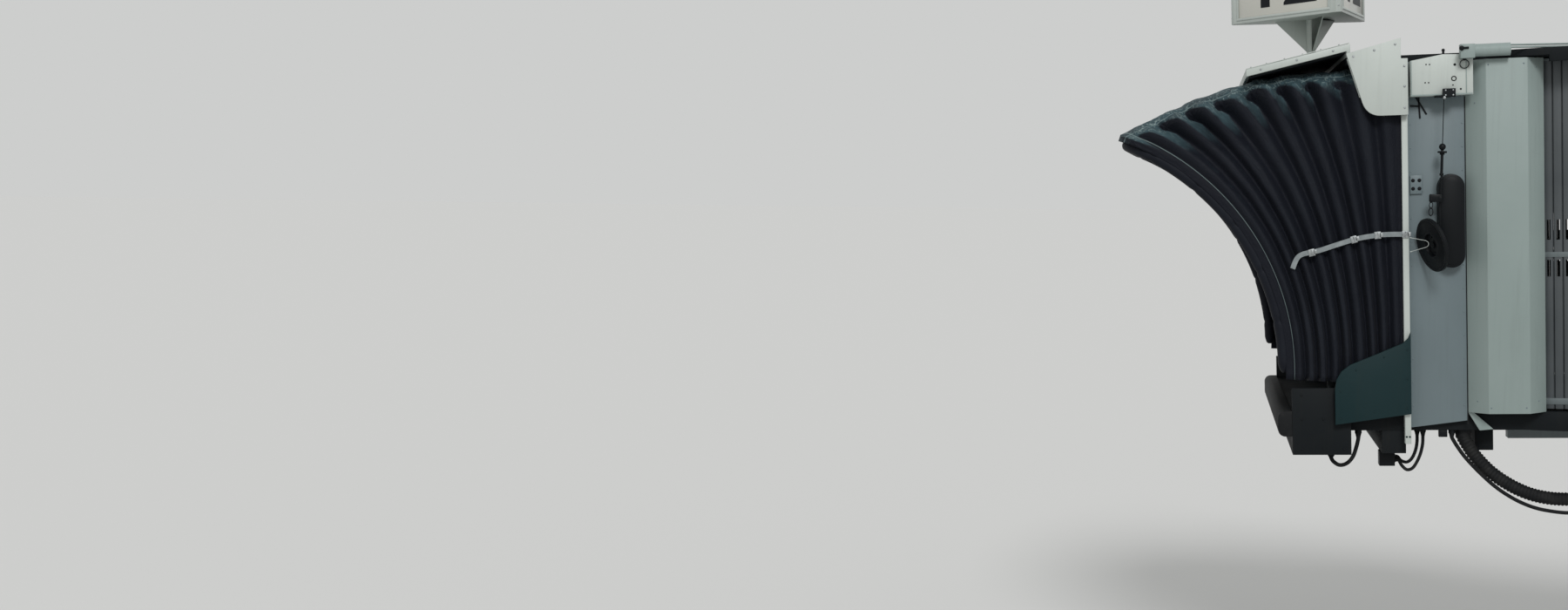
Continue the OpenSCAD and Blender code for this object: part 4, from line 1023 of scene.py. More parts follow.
class BRIDGE_OT_hood_trim(bpy.types.Operator):
    """Black sheet under the hood as painted shade, drip edges and bolts of the hood roof"""
    bl_idname = "bridge.hood_trim"
    bl_label = "Hood trim"

    def execute(self, context):
        slope = radians(HOOD_SLOPE)

        def at(x, drop):
            return HOOD_TOP - (x - HOOD_X) * tan(slope) - drop

        def slab(x0, x1, low, high, y0, y1):
            """A flat piece along the slope, between two depths below the hood's top."""
            corners = ((x0, low), (x1, low), (x1, high), (x0, high))
            return plate([(x, at(x, drop)) for x, drop in corners], y0, y1, 0.002)

        # painted shade: a black sheet under the hood's slab, where the gap above the canopy lies in
        # shade
        settle(slab(0.5, 1.3, 0.078, 0.063, -1.66, 1.66), "hood_soffit", "enamel_black")
        lips = [slab(0.468, 1.318, 0.0, -0.007, 1.655, 1.699),
                slab(1.3, 1.319, 0.002, -0.01, 0.0, 1.66),
                *(slab(x, x + 0.05, 0.001, -0.005, 0.0, 1.655) for x in (0.74, 1.03))]
        settle(both_sides(lips), "hood_lips", "powder_paint_white")
        up = (sin(slope), 0, cos(slope))
        fasten("hood_screws", 0.007,
               [facing((x, 1.676, at(x, -0.007)), up) for x in (0.55, 0.7, 0.85, 1.0, 1.15, 1.28)]
               + outward(1.7, [(x, at(x, 0.03)) for x in (0.6, 0.9, 1.2)]))
        return {"FINISHED"}


class BRIDGE_OT_fascia_fittings(bpy.types.Operator):
    """Holes drawn as black discs of painted shade, clip ring, eyebolt and crossed ties on the
    fascia boxes
    """
    bl_idname = "bridge.fascia_fittings"
    bl_label = "Fascia fittings"

    def execute(self, context):
        y = HOUSING_Y
        # the first seven pins are black discs just proud of the fascia that stand for the shade in
        # its holes
        dark = [pin(x, z, y - 0.004, y + 0.002, r, 0.0005, 16) for x, z, r in (
            (-0.146, 2.954, 0.006), (-0.174, 2.953, 0.006), (-0.137, 2.802, 0.006),
            (-0.165, 2.801, 0.006), (-0.375, 2.944, 0.011), (-0.359, 2.774, 0.006),
            (-0.421, 2.739, 0.008))]
        dark += [ring(-0.367, y + 0.001, 2.828, 0.018, 0.004),
                 ring(-0.451, y + 0.008, 2.945, 0.036, 0.0035),
                 pin(-0.451, 2.985, y - 0.004, y + 0.016, 0.012, 0.002),
                 rod((-0.286, y - 0.015, 3.025), (-0.286, y - 0.015, 3.062), 0.01, 0.002),
                 ball((-0.286, y - 0.015, 3.068), 0.014)]
        # the actuator's clevis pin and lever, on the near side alone
        dark = both_sides(dark) + [pin(-0.415, 3.07, y + 0.118, y + 0.136, 0.02, 0.003),
                                   box(-0.472, -0.402, y + 0.12, y + 0.132, 3.062, 3.08)]
        settle(dark, "fascia_fittings", "black_abs")
        trim = [box(-0.515, -0.022, y, y + 0.004, 2.692, 2.704, 0.001),
                box(-0.03, -0.022, y, y + 0.004, 2.704, 2.99, 0.001),
                box(-0.47, -0.462, y, y + 0.003, 2.704, 3.018, 0.001)]
        settle(both_sides(trim), "fascia_folds", "powder_paint_panel")
        ties = []
        for x0, z0, x1, z1 in ((-0.074, 2.694, -0.162, 2.542), (-0.097, 2.694, -0.108, 2.509),
                               (-0.029, 2.618, -0.101, 2.613)):
            a, b = Vector((x0, WALL_Y + 0.012, z0)), Vector((x1, WALL_Y + 0.006, z1))
            across = (b - a).normalized().cross(OUT) * 0.007
            corners = (a - across, b - across, b + across, a + across)
            ties.append(plate([(p.x, p.z) for p in corners], WALL_Y + 0.001, WALL_Y + 0.007, 0.001))
        settle(both_sides(ties), "crossed_ties", "black_abs")
        return {"FINISHED"}


class BRIDGE_OT_wall_trim(bpy.types.Operator):
    """Seam covers, rivets and hinge bolts of the side walls, posts, guards and housings"""
    bl_idname = "bridge.wall_trim"
    bl_label = "Wall trim"

    def execute(self, context):
        gusset = [(-0.462, 0.05), (-0.462, 0.018), (-0.565, -0.157), (-0.676, -0.146),
                  (-0.492, 0.022)]
        for part, *look in (
                (box(-0.012, -0.002, WALL_Y, WALL_Y + 0.005, -0.12, 2.68, 0.0015),
                 "wall_seams", "powder_paint_wall"),
                (box(-0.474, -0.466, WALL_Y, WALL_Y + 0.006, -0.1, 2.68, 0.0015),
                 "wall_gaskets", "epdm_rubber", "fitting_black"),
                (plate(gusset, WALL_Y - 0.015, WALL_Y - 0.003, 0.002),
                 "wall_gussets", "powder_paint_panel")):
            settle(both_sides([part]), *look)
        diagonal = 0.7071
        rivets = outward(WALL_Y, product((-0.028, -0.446), (0.06 + 0.2 * k for k in range(13))))
        rivets += outward(HOUSING_Y, product((-0.64, -0.92), (0.05, 2.93)))
        rivets += [facing((-1.03, 1.67, z), (-diagonal, diagonal, 0)) for z in (0.1, 2.9)]
        rivets += [facing((-0.54, 1.67, z), (diagonal, diagonal, 0)) for z in (0.1, 2.62)]
        settle(both_sides(copies(ball((0, 0, 0), 0.0065, 0.6), rivets)), "wall_rivets",
               "powder_paint_wall", smooth=60)
        guard_y, post_y = 1.72, 1.68
        bolts = outward(guard_y, ((0.03, 0.05), (0.03, 0.3), (0.03, 0.55), (0.3, 0.02),
                                  (0.58, -0.04), (0.58, 0.2), (0.45, 0.38), (0.22, 0.49)))
        bolts += outward(post_y, ((0.012, -0.2), (0.038, -0.2)))
        fasten("guard_bolts", 0.006, bolts, finish="gel_coat_green")
        return {"FINISHED"}


class BRIDGE_OT_outlet(bpy.types.Operator):
    """Four sockets on the outlet plate"""
    bl_idname = "bridge.outlet"
    bl_label = "Outlet sockets"

    def execute(self, context):
        y = WALL_Y + 0.018
        parts = []
        for x, z in product((-0.044, -0.096), (1.915, 1.985)):
            parts += [ring(x, y, z, 0.013, 0.003),
                      pin(x, z, y - 0.003, y + 0.0015, 0.0115, 0.0004, 20)]
        settle(parts, "outlet_sockets", "black_abs")
        return {"FINISHED"}


# Curtains of vertical slats: across and outward shares of a slat's section, and the ends of the
# cab's and the rotunda's curtains in degrees


SLAT_SECTION = [(-0.5, -0.008), (-0.455, -0.001), (-0.4, 0.004), (-0.2, 0.0055),
                (0.2, 0.0055), (0.4, 0.004), (0.455, -0.001), (0.5, -0.008)]
CAB_ARC, ROTUNDA_ARC = (70.4, 130.2), (41.6, 138.4)


def arc_point(radius, degrees, z):
    a = radians(degrees)
    return Vector((radius * cos(a), radius * sin(a), z))


def slat(width, levels, slots):
    """One roll-formed slat, standing on its middle line, with oblong slots between some levels."""
    columns = len(SLAT_SECTION)
    bpy.ops.mesh.primitive_grid_add(
        x_subdivisions=columns - 1, y_subdivisions=len(levels) - 1, size=1)
    obj = bpy.context.object
    for i, vertex in enumerate(obj.data.vertices):
        across, out = SLAT_SECTION[i % columns]
        vertex.co = (out, across * width, levels[i // columns])
    bpy.ops.object.mode_set(mode="EDIT")
    bpy.ops.mesh.select_mode(type="FACE")
    bpy.ops.mesh.select_all(action="DESELECT")
    bpy.ops.object.mode_set(mode="OBJECT")
    for face in obj.data.polygons:
        across, z = face.center.y, face.center.z
        face.select = abs(across) < 0.1 * width and any(a < z < b for a, b in slots)
    bpy.ops.object.mode_set(mode="EDIT")
    bpy.ops.mesh.delete(type="FACE")
    bpy.ops.object.mode_set(mode="OBJECT")
    return modified(obj, "SOLIDIFY", thickness=0.002, offset=-1.0)


def arc_band(inner, outer, z0, z1, arc, edge=0.002):
    """A flat band bent round an arc."""
    start, end = arc
    bpy.ops.mesh.primitive_plane_add(size=1)
    obj = bpy.context.object
    for vertex, (z, radius) in zip(obj.data.vertices, product((z0, z1), (inner, outer))):
        vertex.co = arc_point(radius, start, z)
    return ease(spun(obj, max(4, round(abs(end - start) / 3)), start - end), edge)


def slat_curtain(radius, arc, levels, slots, width):
    start, end = arc
    count = round(radians(end - start) * radius / width)
    step = (end - start) / count
    one = slat(radians(step) * radius * 0.985, levels, slots)
    return copies(one, [turn(start + (k + 0.5) * step, "Z") @ shift((radius, 0, 0))
                        for k in range(count)])


class BRIDGE_OT_curtains(bpy.types.Operator):
    """Slatted curtains of the turning cab, with slots, a bar and a bottom rail"""
    bl_idname = "bridge.curtains"
    bl_label = "Cab curtains"

    def execute(self, context):
        levels = [0.02, 0.58, 1.142, 1.283, 1.327, 1.452, 1.622, 2.1, 2.55, 2.97]
        slots = [(1.142, 1.283), (1.452, 1.622)]
        slats = slat_curtain(1.622, CAB_ARC, levels, slots, context.scene.bridge_sizes.slat_width)
        rails = [arc_band(1.606, 1.632, 0.055, 0.112, CAB_ARC, 0.006),
                 arc_band(1.626, 1.632, 1.305, 1.349, CAB_ARC),
                 arc_band(1.6, 1.608, 1.285, 1.369, CAB_ARC),
                 arc_band(1.606, 1.63, 2.955, 2.974, CAB_ARC)]
        both = zip(both_sides([joined(slats)]), both_sides([joined(rails)]))
        looks = (("slats", "anodised_slats"), ("rails", "enamel_steel_grey"))
        for (side, hand), pair in zip((("left", 1), ("right", -1)), both):
            for obj, (label, finish) in zip(pair, looks):
                settle(obj, f"cab_curtain_{label}_{side}", finish, "slat_grey", None, BUBBLE)
                if label == "slats":
                    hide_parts("bubble_curtain_" + side)
                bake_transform(obj)
        return {"FINISHED"}


class BRIDGE_OT_rotunda_curtains(bpy.types.Operator):
    """Slatted curtains round the rotunda"""
    bl_idname = "bridge.rotunda_curtains"
    bl_label = "Rotunda curtains"

    def execute(self, context):
        where = shift((0, 0, FLOOR_Z))
        slats = slat_curtain(1.826, ROTUNDA_ARC, [0.01, 0.6, 1.2, 1.8, 2.49], [],
                             context.scene.bridge_sizes.slat_width)
        obj = settle(both_sides(slats), "rotunda_slats", "anodised_slats", None, "bridge", where)
        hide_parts("rotunda_curtains")
        rails = [arc_band(1.814, 1.838, 0.03, 0.09, ROTUNDA_ARC, 0.006),
                 arc_band(1.814, 1.838, 2.46, 2.49, ROTUNDA_ARC)]
        settle(both_sides(rails), "rotunda_rails", "zinc_steel", "slat_grey", "bridge", where)
        return {"FINISHED"}


# Sign, hoist, reel and cords


class BRIDGE_OT_sign(bpy.types.Operator):
    """Acrylic faces, frame strips and plain digits of the gate sign"""
    bl_idname = "bridge.sign"
    bl_label = "Gate sign"

    def execute(self, context):
        height = context.scene.bridge_sizes.digit_height
        centre = shift((SIGN_X, 0, SIGN_Z))
        inset, half, top, wide = 1.35 / (2 * sqrt(3)), 0.545, 0.85, 0.557
        faces, strips, digits = [], [], []
        for place in (centre @ turn(166 + 120 * k, "Z") for k in range(3)):
            faces.append(box(inset - 0.012, inset - 0.006, -half, half, 0.045, top - 0.045, 0.0015))
            bars = [box(inset - 0.004, inset + 0.007, *sides, 0.002) for sides in (
                (-wide, wide, 0.03, 0.052), (-wide, wide, top - 0.052, top - 0.03),
                (-wide, -half + 0.01, 0.052, top - 0.052), (half - 0.01, wide, 0.052, top - 0.052))]
            bpy.ops.object.text_add()
            text = bpy.context.object
            text.data.body = "12"
            text.data.size, text.data.offset = height / 0.72, height * 0.022
            text.data.extrude, text.data.align_x = 0.0012, "CENTER"
            bpy.ops.object.convert(target="MESH")
            low, high = (pick_end(v.co.y for v in text.data.vertices) for pick_end in (min, max))
            text.data.transform(Matrix(((0, 0, 1, inset - 0.0045), (1, 0, 0, 0),
                                        (0, 1, 0, (top - (high - low)) / 2 - low), (0, 0, 0, 1))))
            for part in (faces[-1], *bars, text):
                part.data.transform(place)
            strips += bars
            digits.append(text)
        settle(faces, "sign_faces", "opal_acrylic")
        settle(strips, "sign_strips", "powder_paint_white")
        settle(digits, "sign_digits", "vinyl_digits", smooth=0)
        corner_x, foot_radius = 0.7345, 0.078
        fasten("sign_screws", 0.007,
               [centre @ turn(106 + 120 * k, "Z") @ facing((corner_x, 0, z), AHEAD)
                for k, z in product(range(3), (0.06, 0.3, 0.55, 0.79))], False, slot="trim_white")
        lean = radians(HOOD_SLOPE)
        foot = shift((SIGN_X, 0, HOOD_TOP - (SIGN_X - HOOD_X) * tan(lean) + 0.014)) \
            @ turn(HOOD_SLOPE, "Y")
        feet = [foot @ shift(p) for p in ring_points(foot_radius, 6, start=0.5)]
        fasten("sign_foot_bolts", 0.009, feet, False, slot="trim_white")
        return {"FINISHED"}


class BRIDGE_OT_hoist(bpy.types.Operator):
    """Wire, ball, collar, rod and hook of the little hoist"""
    bl_idname = "bridge.hoist"
    bl_label = "Hoist"

    def execute(self, context):
        x, z0, hook_x, long = -0.285, 2.675, 0.076, 1.8
        links = [ring(hook_x, 0, z / long, radius, 0.0032)
                 for z, radius in ((-0.905, 0.014), (-0.962, 0.017))]
        for link in links:
            link.data.transform(Matrix.Scale(long, 4, UP))
        parts = [stem(-0.39, 0.0, 0.0035, vertices=8), ball((0, 0, -0.415), 0.028)]
        parts += [stem(*sizes) for sizes in (
            (-0.467, -0.451, 0.038, 0.003), (-0.482, -0.467, 0.02, 0.003),
            (-0.64, -0.435, 0.0115, 0.002), (-0.656, -0.636, 0.017, 0.002),
            (-0.69, -0.674, 0.016, 0.002), (-0.82, -0.65, 0.0085, 0.001))]
        parts += [box(-0.012, 0.094, -0.014, 0.014, -0.88, -0.812, 0.01),
                  pin(0.004, -0.846, -0.019, 0.019, 0.014, 0.002),
                  pin(hook_x, -0.858, -0.017, 0.017, 0.008, 0.002)]
        obj = settle(parts + links, "hoist_made", "black_abs",
                     where=CAB @ shift((x, HOUSING_Y + 0.01, z0)) @ turn(-SLOPE, "Y"))
        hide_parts("hoist_weight")
        bolts = [pin(bolt_x, z, HOUSING_Y + 0.045, HOUSING_Y + 0.05, 0.007, 0.001, 6)
                 for bolt_x, z in product((-0.355, -0.295), (z0 + 0.015, z0 + 0.055))]
        bolts.append(pin(x, z0 - 0.006, HOUSING_Y - 0.02, HOUSING_Y + 0.05, 0.012, 0.002))
        settle(bolts, "hoist_bracket_bolts", "zinc_steel")
        return {"FINISHED"}


class BRIDGE_OT_reel(bpy.types.Operator):
    """Tilted cable disc with its hub, and the flange of the reel housing"""
    bl_idname = "bridge.reel"
    bl_label = "Reel and disc"

    def execute(self, context):
        disc = joined([
            turned([(0.0, -0.018), (0.219, -0.018), (0.23, -0.011), (0.23, 0.012), (0.222, 0.018),
                    (0.21, 0.016), (0.203, 0.01), (0.12, 0.01), (0.104, 0.017), (0.098, 0.014),
                    (0.094, -0.008), (0.0, -0.008)], 80),
            stem(-0.01, 0.004, 0.03, 0.003, 32),
            *(rod(p, p + UP * 0.006, 0.007, 0.001, 6) for p in ring_points(0.065, 6, -0.009))])
        disc.data.transform(shift((0, 0.24, 0)) @ turn(22, "Z") @ turn(102.5, "Y"))
        obj = settle([disc, pin(0, 0, 0, 0.19, 0.02, 0.003), pin(0, 0, 0, 0.012, 0.045, 0.003)],
                     "reel_disc_made", "black_abs", where=CAB @ shift((-0.17, WALL_Y, 1.44)))
        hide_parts("reel_disc")
        x, low, high, radius = -0.345, 1.345, 1.925, 0.108
        outline = [(x + radius * cos(a), z + radius * sin(a)) for z, first in ((low, pi), (high, 0))
                   for a in (first + pi * k / 14 for k in range(15))]
        middle = (low + high) / 2
        lid = [(x + (px - x) * 0.8, middle + (pz - middle) * 0.93) for px, pz in outline]
        settle([plate(outline, WALL_Y, WALL_Y + 0.014), plate(lid, WALL_Y + 0.108, WALL_Y + 0.116)],
               "reel_flange", "black_abs")
        return {"FINISHED"}


# Routes of the cords in the cab's frame, as in the part's source: radius, stiffness, points
CORDS = {
    "service_hose": (0.058, "stiff", [
        (-0.45, 1.43, -0.185), (-0.45, 1.43, -0.23), (-0.55, 1.43, -0.4), (-0.7, 1.425, -0.56),
        (-0.9, 1.41, -0.69), (-1.1, 1.39, -0.76), (-1.33, 1.36, -0.78), (-1.56, 1.33, -0.74),
        (-1.76, 1.29, -0.64), (-1.92, 1.26, -0.49), (-2.02, 1.24, -0.33), (-2.04, 1.23, -0.24),
        (-2.04, 1.23, -0.185)]),
    "service_cable": (0.016, "medium", [
        (-0.35, 1.5, -0.185), (-0.35, 1.5, -0.225), (-0.39, 1.495, -0.3), (-0.45, 1.49, -0.39),
        (-0.525, 1.48, -0.48), (-0.61, 1.47, -0.57), (-0.7, 1.465, -0.655), (-0.8, 1.46, -0.73),
        (-0.91, 1.45, -0.795), (-1.03, 1.44, -0.845), (-1.16, 1.43, -0.875), (-1.29, 1.42, -0.89),
        (-1.42, 1.41, -0.885), (-1.55, 1.4, -0.86), (-1.67, 1.385, -0.82), (-1.78, 1.37, -0.76),
        (-1.88, 1.355, -0.685), (-1.965, 1.34, -0.595), (-2.035, 1.33, -0.495),
        (-2.085, 1.32, -0.39), (-2.115, 1.31, -0.285), (-2.12, 1.31, -0.23),
        (-2.12, 1.31, -0.185)]),
    "front_cable": (0.017, "medium", [
        (0.42, 1.48, -0.185), (0.42, 1.48, -0.235), (0.44, 1.48, -0.32), (0.47, 1.48, -0.4),
        (0.52, 1.48, -0.455), (0.58, 1.48, -0.47), (0.63, 1.48, -0.44), (0.65, 1.48, -0.405),
        (0.65, 1.48, -0.385)]),
    "loop_cable_long": (0.014, "limp", [
        (0.11, 1.36, -0.44), (0.08, 1.36, -0.44), (0.05, 1.365, -0.49), (0.01, 1.375, -0.525),
        (-0.035, 1.39, -0.51), (-0.07, 1.405, -0.455), (-0.1, 1.415, -0.38), (-0.118, 1.42, -0.3),
        (-0.122, 1.42, -0.23), (-0.122, 1.42, -0.185)]),
    "loop_cable_short": (0.014, "limp", [
        (0.11, 1.3, -0.42), (0.08, 1.3, -0.42), (0.05, 1.305, -0.455), (0.005, 1.33, -0.465),
        (-0.035, 1.35, -0.43), (-0.065, 1.36, -0.36), (-0.078, 1.365, -0.29), (-0.08, 1.365, -0.23),
        (-0.08, 1.365, -0.185)]),
}
WIRE_RADIUS = 0.0025
WIRE_ROUTE = [
    (-0.008, 1.682, 1.502), (-0.045, 1.716, 1.494), (-0.085, 1.757, 1.485), (-0.12, 1.8, 1.477),
    (-0.138, 1.824, 1.462), (-0.139, 1.824, 1.436), (-0.12, 1.796, 1.42), (-0.085, 1.757, 1.408),
    (-0.045, 1.716, 1.394), (-0.011, 1.682, 1.382)]


def relief(start, toward, radius, length):
    """Moulded strain relief: a collar, then a grooved taper along the cord from its exit."""
    extra = min(0.75 * radius, 0.012)
    step = length / 7
    outline = [(radius * 0.6, -0.001), (radius + extra, -0.001), (radius + extra, step * 0.85),
               (radius + extra * 0.55, step)]
    for k in range(1, 7):
        wide = radius + extra * (0.85 - 0.13 * k)
        groove = wide - extra * 0.16
        outline += [(wide, step * (k + 0.1)), (wide, step * (k + 0.6)),
                    (groove, step * (k + 0.7)), (groove, step * (k + 0.95))]
    obj = turned(outline + [(radius * 0.6, length)], 28)
    aimed = (toward - start).to_track_quat("Z", "Y").to_matrix().to_4x4()
    obj.data.transform(shift(start) @ aimed)
    return obj


def reliefs(name, route, radius, finish, slot=None):
    """A strain relief at each end of a cord."""
    made = []
    for start, toward in ((Vector(a), Vector(b)) for a, b in (route[:2], route[:-3:-1])):
        reach = min((toward - start).length, 0.055) if radius > 0.01 else 0.024
        made.append(relief(start, toward, radius, reach))
    return settle(made, name + "_reliefs", finish, slot)


class BRIDGE_OT_cords(bpy.types.Operator):
    """Service hose, its cable and the three cables under the cab's front"""
    bl_idname = "bridge.cords"
    bl_label = "Hose and cables"

    def execute(self, context):
        pitch = context.scene.bridge_sizes.hose_rib
        for node, (radius, stiffness, route) in CORDS.items():
            sides, rib = (24, 0.006) if node == "service_hose" else (12, 0.0)
            obj, path, length = tube_mesh(node + "_made", route, radius, sides, 6, rib, pitch)
            settle(obj, node + "_made", "epdm_rubber", "cable_black", smooth=0)
            ends = reliefs(node, route, radius, "epdm_rubber", "cable_black")
            [CAB @ p for p in path]
            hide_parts(node)
        return {"FINISHED"}


class BRIDGE_OT_wire_loop(bpy.types.Operator):
    """Thin white cable from the front post round the disc's rim"""
    bl_idname = "bridge.wire_loop"
    bl_label = "White wire loop"

    def execute(self, context):
        obj, path, length = tube_mesh("white_wire_loop", WIRE_ROUTE, WIRE_RADIUS, sides=8, smooth=5)
        settle(obj, "white_wire_loop", "white_cable", smooth=0)
        ends = reliefs("white_wire", WIRE_ROUTE, WIRE_RADIUS, "white_cable")
        [CAB @ p for p in path]
        return {"FINISHED"}


# Wheels and bolts: half of the tyre's section, as radius and height, and where its lugs are


TYRE_SIDE = [(0.205, 0.15), (0.222, 0.172), (0.3, 0.19), (0.4, 0.199), (0.47, 0.196),
             (0.52, 0.176), (0.545, 0.15), (0.549, 0.105), (0.536, 0.1), (0.536, 0.085),
             (0.55, 0.08), (0.55, 0.012), (0.536, 0.008)]
TREAD, LUG_FOOT, LUG_STEP = 0.54, 0.538, radians(3.75)


class BRIDGE_OT_wheels(bpy.types.Operator):
    """Drive wheels: tyre with grooves and lugs, rim with nuts"""
    bl_idname = "bridge.wheels"
    bl_label = "Drive wheels"

    def execute(self, context):
        tyre = turned([(r, -z) for r, z in TYRE_SIDE] + TYRE_SIDE[::-1], 96)
        for co in (vertex.co for vertex in tyre.data.vertices):
            r = hypot(co.x, co.y)
            lug = round(atan2(co.y, co.x) / LUG_STEP)
            if r > TREAD and lug % 3 == 0 and abs(co.z) > 0.02:
                co.x *= LUG_FOOT / r
                co.y *= LUG_FOOT / r
        rim = joined([
            turned([(0.06, -0.01), (0.12, 0.01), (0.16, 0.05), (0.175, 0.12), (0.205, 0.148),
                    (0.222, 0.16), (0.224, 0.172), (0.205, 0.168), (0.185, 0.15), (0.16, 0.125),
                    (0.145, 0.065), (0.11, 0.032), (0.06, 0.02)], 64),
            turned([(0.188, -0.15), (0.206, -0.15), (0.206, 0.15), (0.188, 0.15)], 64),
            stem(-0.02, 0.15, 0.062, 0.006, 32),
            *(rod(p, p + UP * 0.03, 0.013, 0.002, 6) for p in ring_points(0.092, 10, 0.02))])
        places = [shift((DRIVE_X, WHEEL_Y * hand, WHEEL_Z)) @ turn(-90 * hand, "X")
                  for hand in (1, -1)]
        obj = settle(copies(tyre, places), "drive_tyres", "tyre_rubber", None, "bridge", WORLD)
        settle(copies(rim, places), "drive_rims", "powder_paint_white", None, "bridge", WORLD)
        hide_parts("drive_wheels")
        return {"FINISHED"}


class BRIDGE_OT_fasteners(bpy.types.Operator):
    """Anchor bolts, frame bolts, bearing bolts and bracket bolts of the bridge"""
    bl_idname = "bridge.fasteners"
    bl_label = "Fasteners"

    def execute(self, context):
        down = turn(180, "X")
        portal = [(y, 0.12 + 0.28 * k) for y, k in product((-1.165, 1.165), range(9))]
        portal += [(-1.0 + 0.25 * k, 2.44) for k in range(9)]
        rear = [(y, 0.08 + 0.26 * k) for y, k in product((-1.31, 1.31), range(10))]
        rear += [(-1.12 + 0.28 * k, 2.56) for k in range(9)]
        cab_frame = [(y, 0.1 + 0.25 * k) for y, k in product((-1.27, 1.27), range(11))]
        feet = product((-0.19, 0.19), (-0.14, 0.0, 0.14))
        outer_step, inner_step = (7.6 - 0.08) / 7, (7.2 - 0.08) / 7
        for name, radius, where, mirror, places in (
                ("anchor_nuts", 0.028, WORLD, False,
                 [shift(p) for p in ring_points(0.6, 8, 0.05, 0.5)]),
                ("column_head_bolts", 0.016, WORLD, False,
                 [shift(p) @ down for p in ring_points(0.54, 20, 3.85)]),
                ("portal_bolts", 0.012, WORLD, False,
                 [facing((PORTAL_X, y, FLOOR_Z + z), AHEAD) for y, z in portal]),
                ("tunnel_frame_bolts", 0.011, BRIDGE, False,
                 [facing((4.54, y, z), -AHEAD) for y, z in rear]),
                ("cab_frame_bolts", 0.009, BUBBLE, False,
                 [facing((-1.05, y, z), AHEAD) for y, z in cab_frame]),
                ("lift_bracket_bolts", 0.014, BRIDGE, True,
                 outward(1.4005, ((8.99 + x, z) for z, x in
                                  product((0.15, 0.31, 1.75, 1.91), (-0.195, 0.195))))),
                ("column_foot_bolts", 0.012, WORLD, True,
                 [shift((DRIVE_X + x, 1.54 + y, 1.58)) for x, y in feet]),
                ("bearing_bolts", 0.01, BUBBLE, False,
                 [shift(p) @ down for p in ring_points(0.83, 36, -0.2203)]),
                ("outer_rib_bolts", 0.008, BRIDGE, True,
                 outward(1.34, ((4.74 + k * outer_step, z) for k, z in
                                product(range(8), (0.2, 0.75, 1.25, 1.75, 2.27))))),
                ("inner_rib_bolts", 0.008, BRIDGE, True,
                 outward(1.165, ((0.04969 + k * inner_step, z) for k, z in
                                 product(range(5), (0.25, 0.9, 1.6, 2.25)))))):
            fasten(name, radius, places, mirror, "bridge", where)
        platform = [*product((0.55, 0.72, 0.9), (-0.31, -0.05)), (0.6, 0.16), (0.9, 0.16)]
        fasten("platform_bolts", 0.008, outward(1.64, platform), finish="enamel_black",
               slot="steel_grey")
        return {"FINISHED"}


# The stage: each lamp's name, strength, spread in degrees and direction, and the camera's place
# and its yaw, downward pitch and roll in degrees


LAMPS = (("Key", 1.7, 16, (0.1, -0.8, -0.6)), ("Fill", 0.35, 60, (0.8, 0.5, -0.35)))
CAMERA_AT, CAMERA_TURN = (18.5504, 18.4979, 5.2771), (-77.77, 3.6413, 0.5617)
SENSOR_MM, FOCAL_PIXELS, PHOTO_PIXELS = 36, 2169.1, 1800


class BRIDGE_OT_stage(bpy.types.Operator):
    """Plain pale floor, soft light and the photograph's camera"""
    bl_idname = "bridge.stage"
    bl_label = "Stage"

    def execute(self, context):
        scene = context.scene
        scene.view_settings.view_transform = "Standard"
        bpy.ops.mesh.primitive_plane_add(size=900, location=(10, 0, 0))
        floor = context.object
        floor.name = "stage_floor"
        floor.data.materials.append(surface("matt_floor", {
            "Base Color": linear("#D0D0CF"), "Roughness": 1.0, "Specular IOR Level": 0.0}))
        world = scene.world = bpy.data.worlds.new("Soft sky")
        world.use_nodes = True
        grow(world.node_tree, [
            ("sky", "Background", {"Color": linear("#CDCECD"), "Strength": 1.0}),
            ("end", "OutputWorld", {"Surface": "sky.Background"})])
        for name, energy, spread, direction in LAMPS:
            lamp = bpy.data.lights.new(name, "SUN")
            lamp.energy, lamp.angle = energy, radians(spread)
            obj = bpy.data.objects.new(name, lamp)
            obj.rotation_euler = Vector(direction).to_track_quat("-Z", "Y").to_euler()
            scene.collection.objects.link(obj)
        data = bpy.data.cameras.new("Photograph camera")
        data.sensor_width, data.lens = SENSOR_MM, SENSOR_MM * FOCAL_PIXELS / PHOTO_PIXELS
        data.clip_start, data.clip_end = 0.5, 900
        yaw, pitch, roll = (radians(v) for v in CAMERA_TURN)
        ahead = Vector((cos(yaw) * cos(pitch), sin(yaw) * cos(pitch), -sin(pitch)))
        right = ahead.cross(UP).normalized()
        up = right.cross(ahead)
        rolled = (right * cos(roll) + up * sin(roll), up * cos(roll) - right * sin(roll), -ahead)
        scene.camera = bpy.data.objects.new("Photograph camera", data)
        scene.collection.objects.link(scene.camera)
        scene.camera.matrix_world = shift(CAMERA_AT) @ Matrix(rolled).transposed().to_4x4()
        return {"FINISHED"}


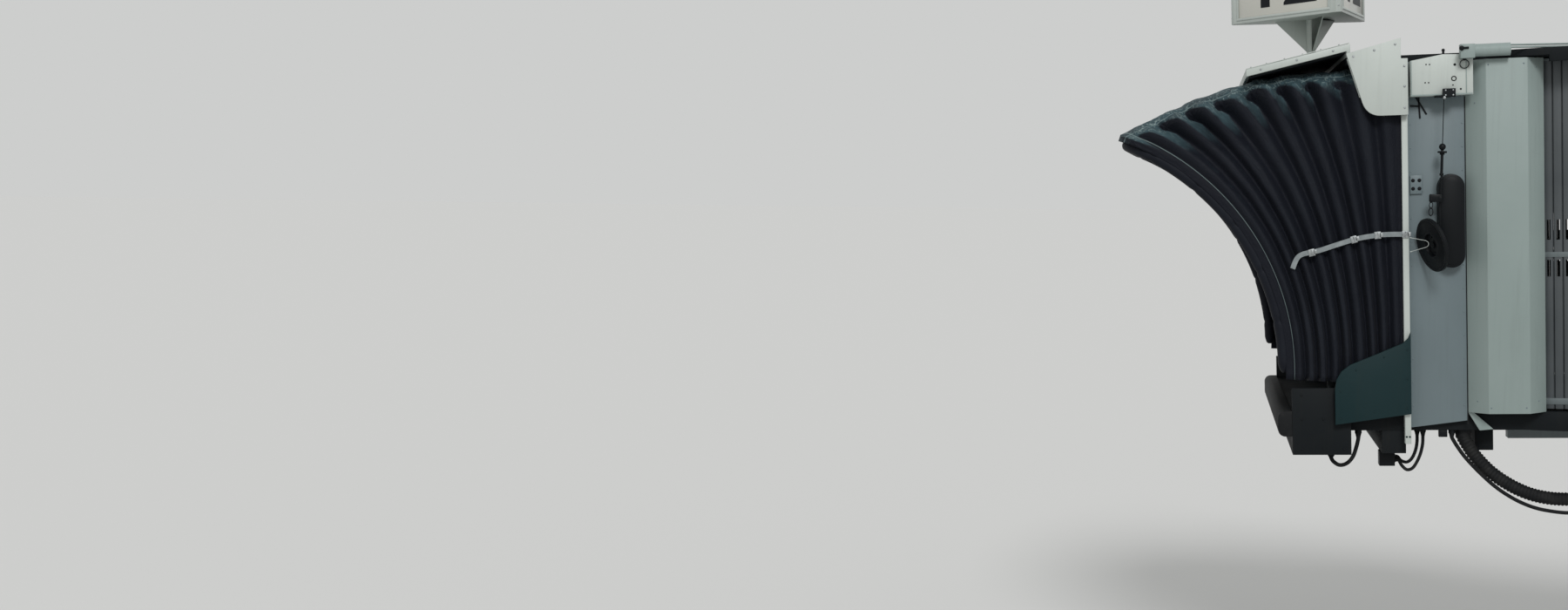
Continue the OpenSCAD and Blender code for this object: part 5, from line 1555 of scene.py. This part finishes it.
CLASSES = [
    BridgeSizes, BridgeColours, BRIDGE_OT_stage, BRIDGE_OT_cords, BRIDGE_OT_wire_loop,
    BRIDGE_OT_shell, BRIDGE_OT_bellows, BRIDGE_OT_pads, BRIDGE_OT_straps, BRIDGE_OT_shields,
    BRIDGE_OT_hood_trim, BRIDGE_OT_fascia_fittings, BRIDGE_OT_wall_trim, BRIDGE_OT_outlet,
    BRIDGE_OT_curtains, BRIDGE_OT_rotunda_curtains, BRIDGE_OT_sign, BRIDGE_OT_hoist,
    BRIDGE_OT_reel, BRIDGE_OT_wheels, BRIDGE_OT_fasteners,
]


class BRIDGE_PT_panel(bpy.types.Panel):
    """Buttons that make the bridge piece by piece"""
    bl_label = "Jet bridge"
    bl_idname = "BRIDGE_PT_panel"
    bl_space_type = "VIEW_3D"
    bl_region_type = "UI"
    bl_category = "Bridge"

    def draw(self, context):
        for group in (context.scene.bridge_sizes, context.scene.bridge_colours):
            for name in group.__annotations__:
                self.layout.prop(group, name)
        for made in CLASSES[2:]:
            self.layout.operator(made.bl_idname)


def register():
    for made in CLASSES + [BRIDGE_PT_panel]:
        bpy.utils.register_class(made)
    bpy.types.Scene.bridge_sizes = bpy.props.PointerProperty(type=BridgeSizes)
    bpy.types.Scene.bridge_colours = bpy.props.PointerProperty(type=BridgeColours)


def unregister():
    del bpy.types.Scene.bridge_sizes, bpy.types.Scene.bridge_colours
    for made in reversed(CLASSES + [BRIDGE_PT_panel]):
        bpy.utils.unregister_class(made)


def main():
    register()
    bpy.ops.bridge.stage()
    bpy.ops.bridge.cords()
    bpy.ops.bridge.wire_loop()
    bpy.ops.bridge.shell()
    bpy.ops.bridge.bellows()
    bpy.ops.bridge.pads()
    bpy.ops.bridge.straps()
    bpy.ops.bridge.shields()
    bpy.ops.bridge.hood_trim()
    bpy.ops.bridge.fascia_fittings()
    bpy.ops.bridge.wall_trim()
    bpy.ops.bridge.outlet()
    bpy.ops.bridge.curtains()
    bpy.ops.bridge.rotunda_curtains()
    bpy.ops.bridge.sign()
    bpy.ops.bridge.hoist()
    bpy.ops.bridge.reel()
    bpy.ops.bridge.wheels()
    bpy.ops.bridge.fasteners()


if __name__ == "__main__":
    main()
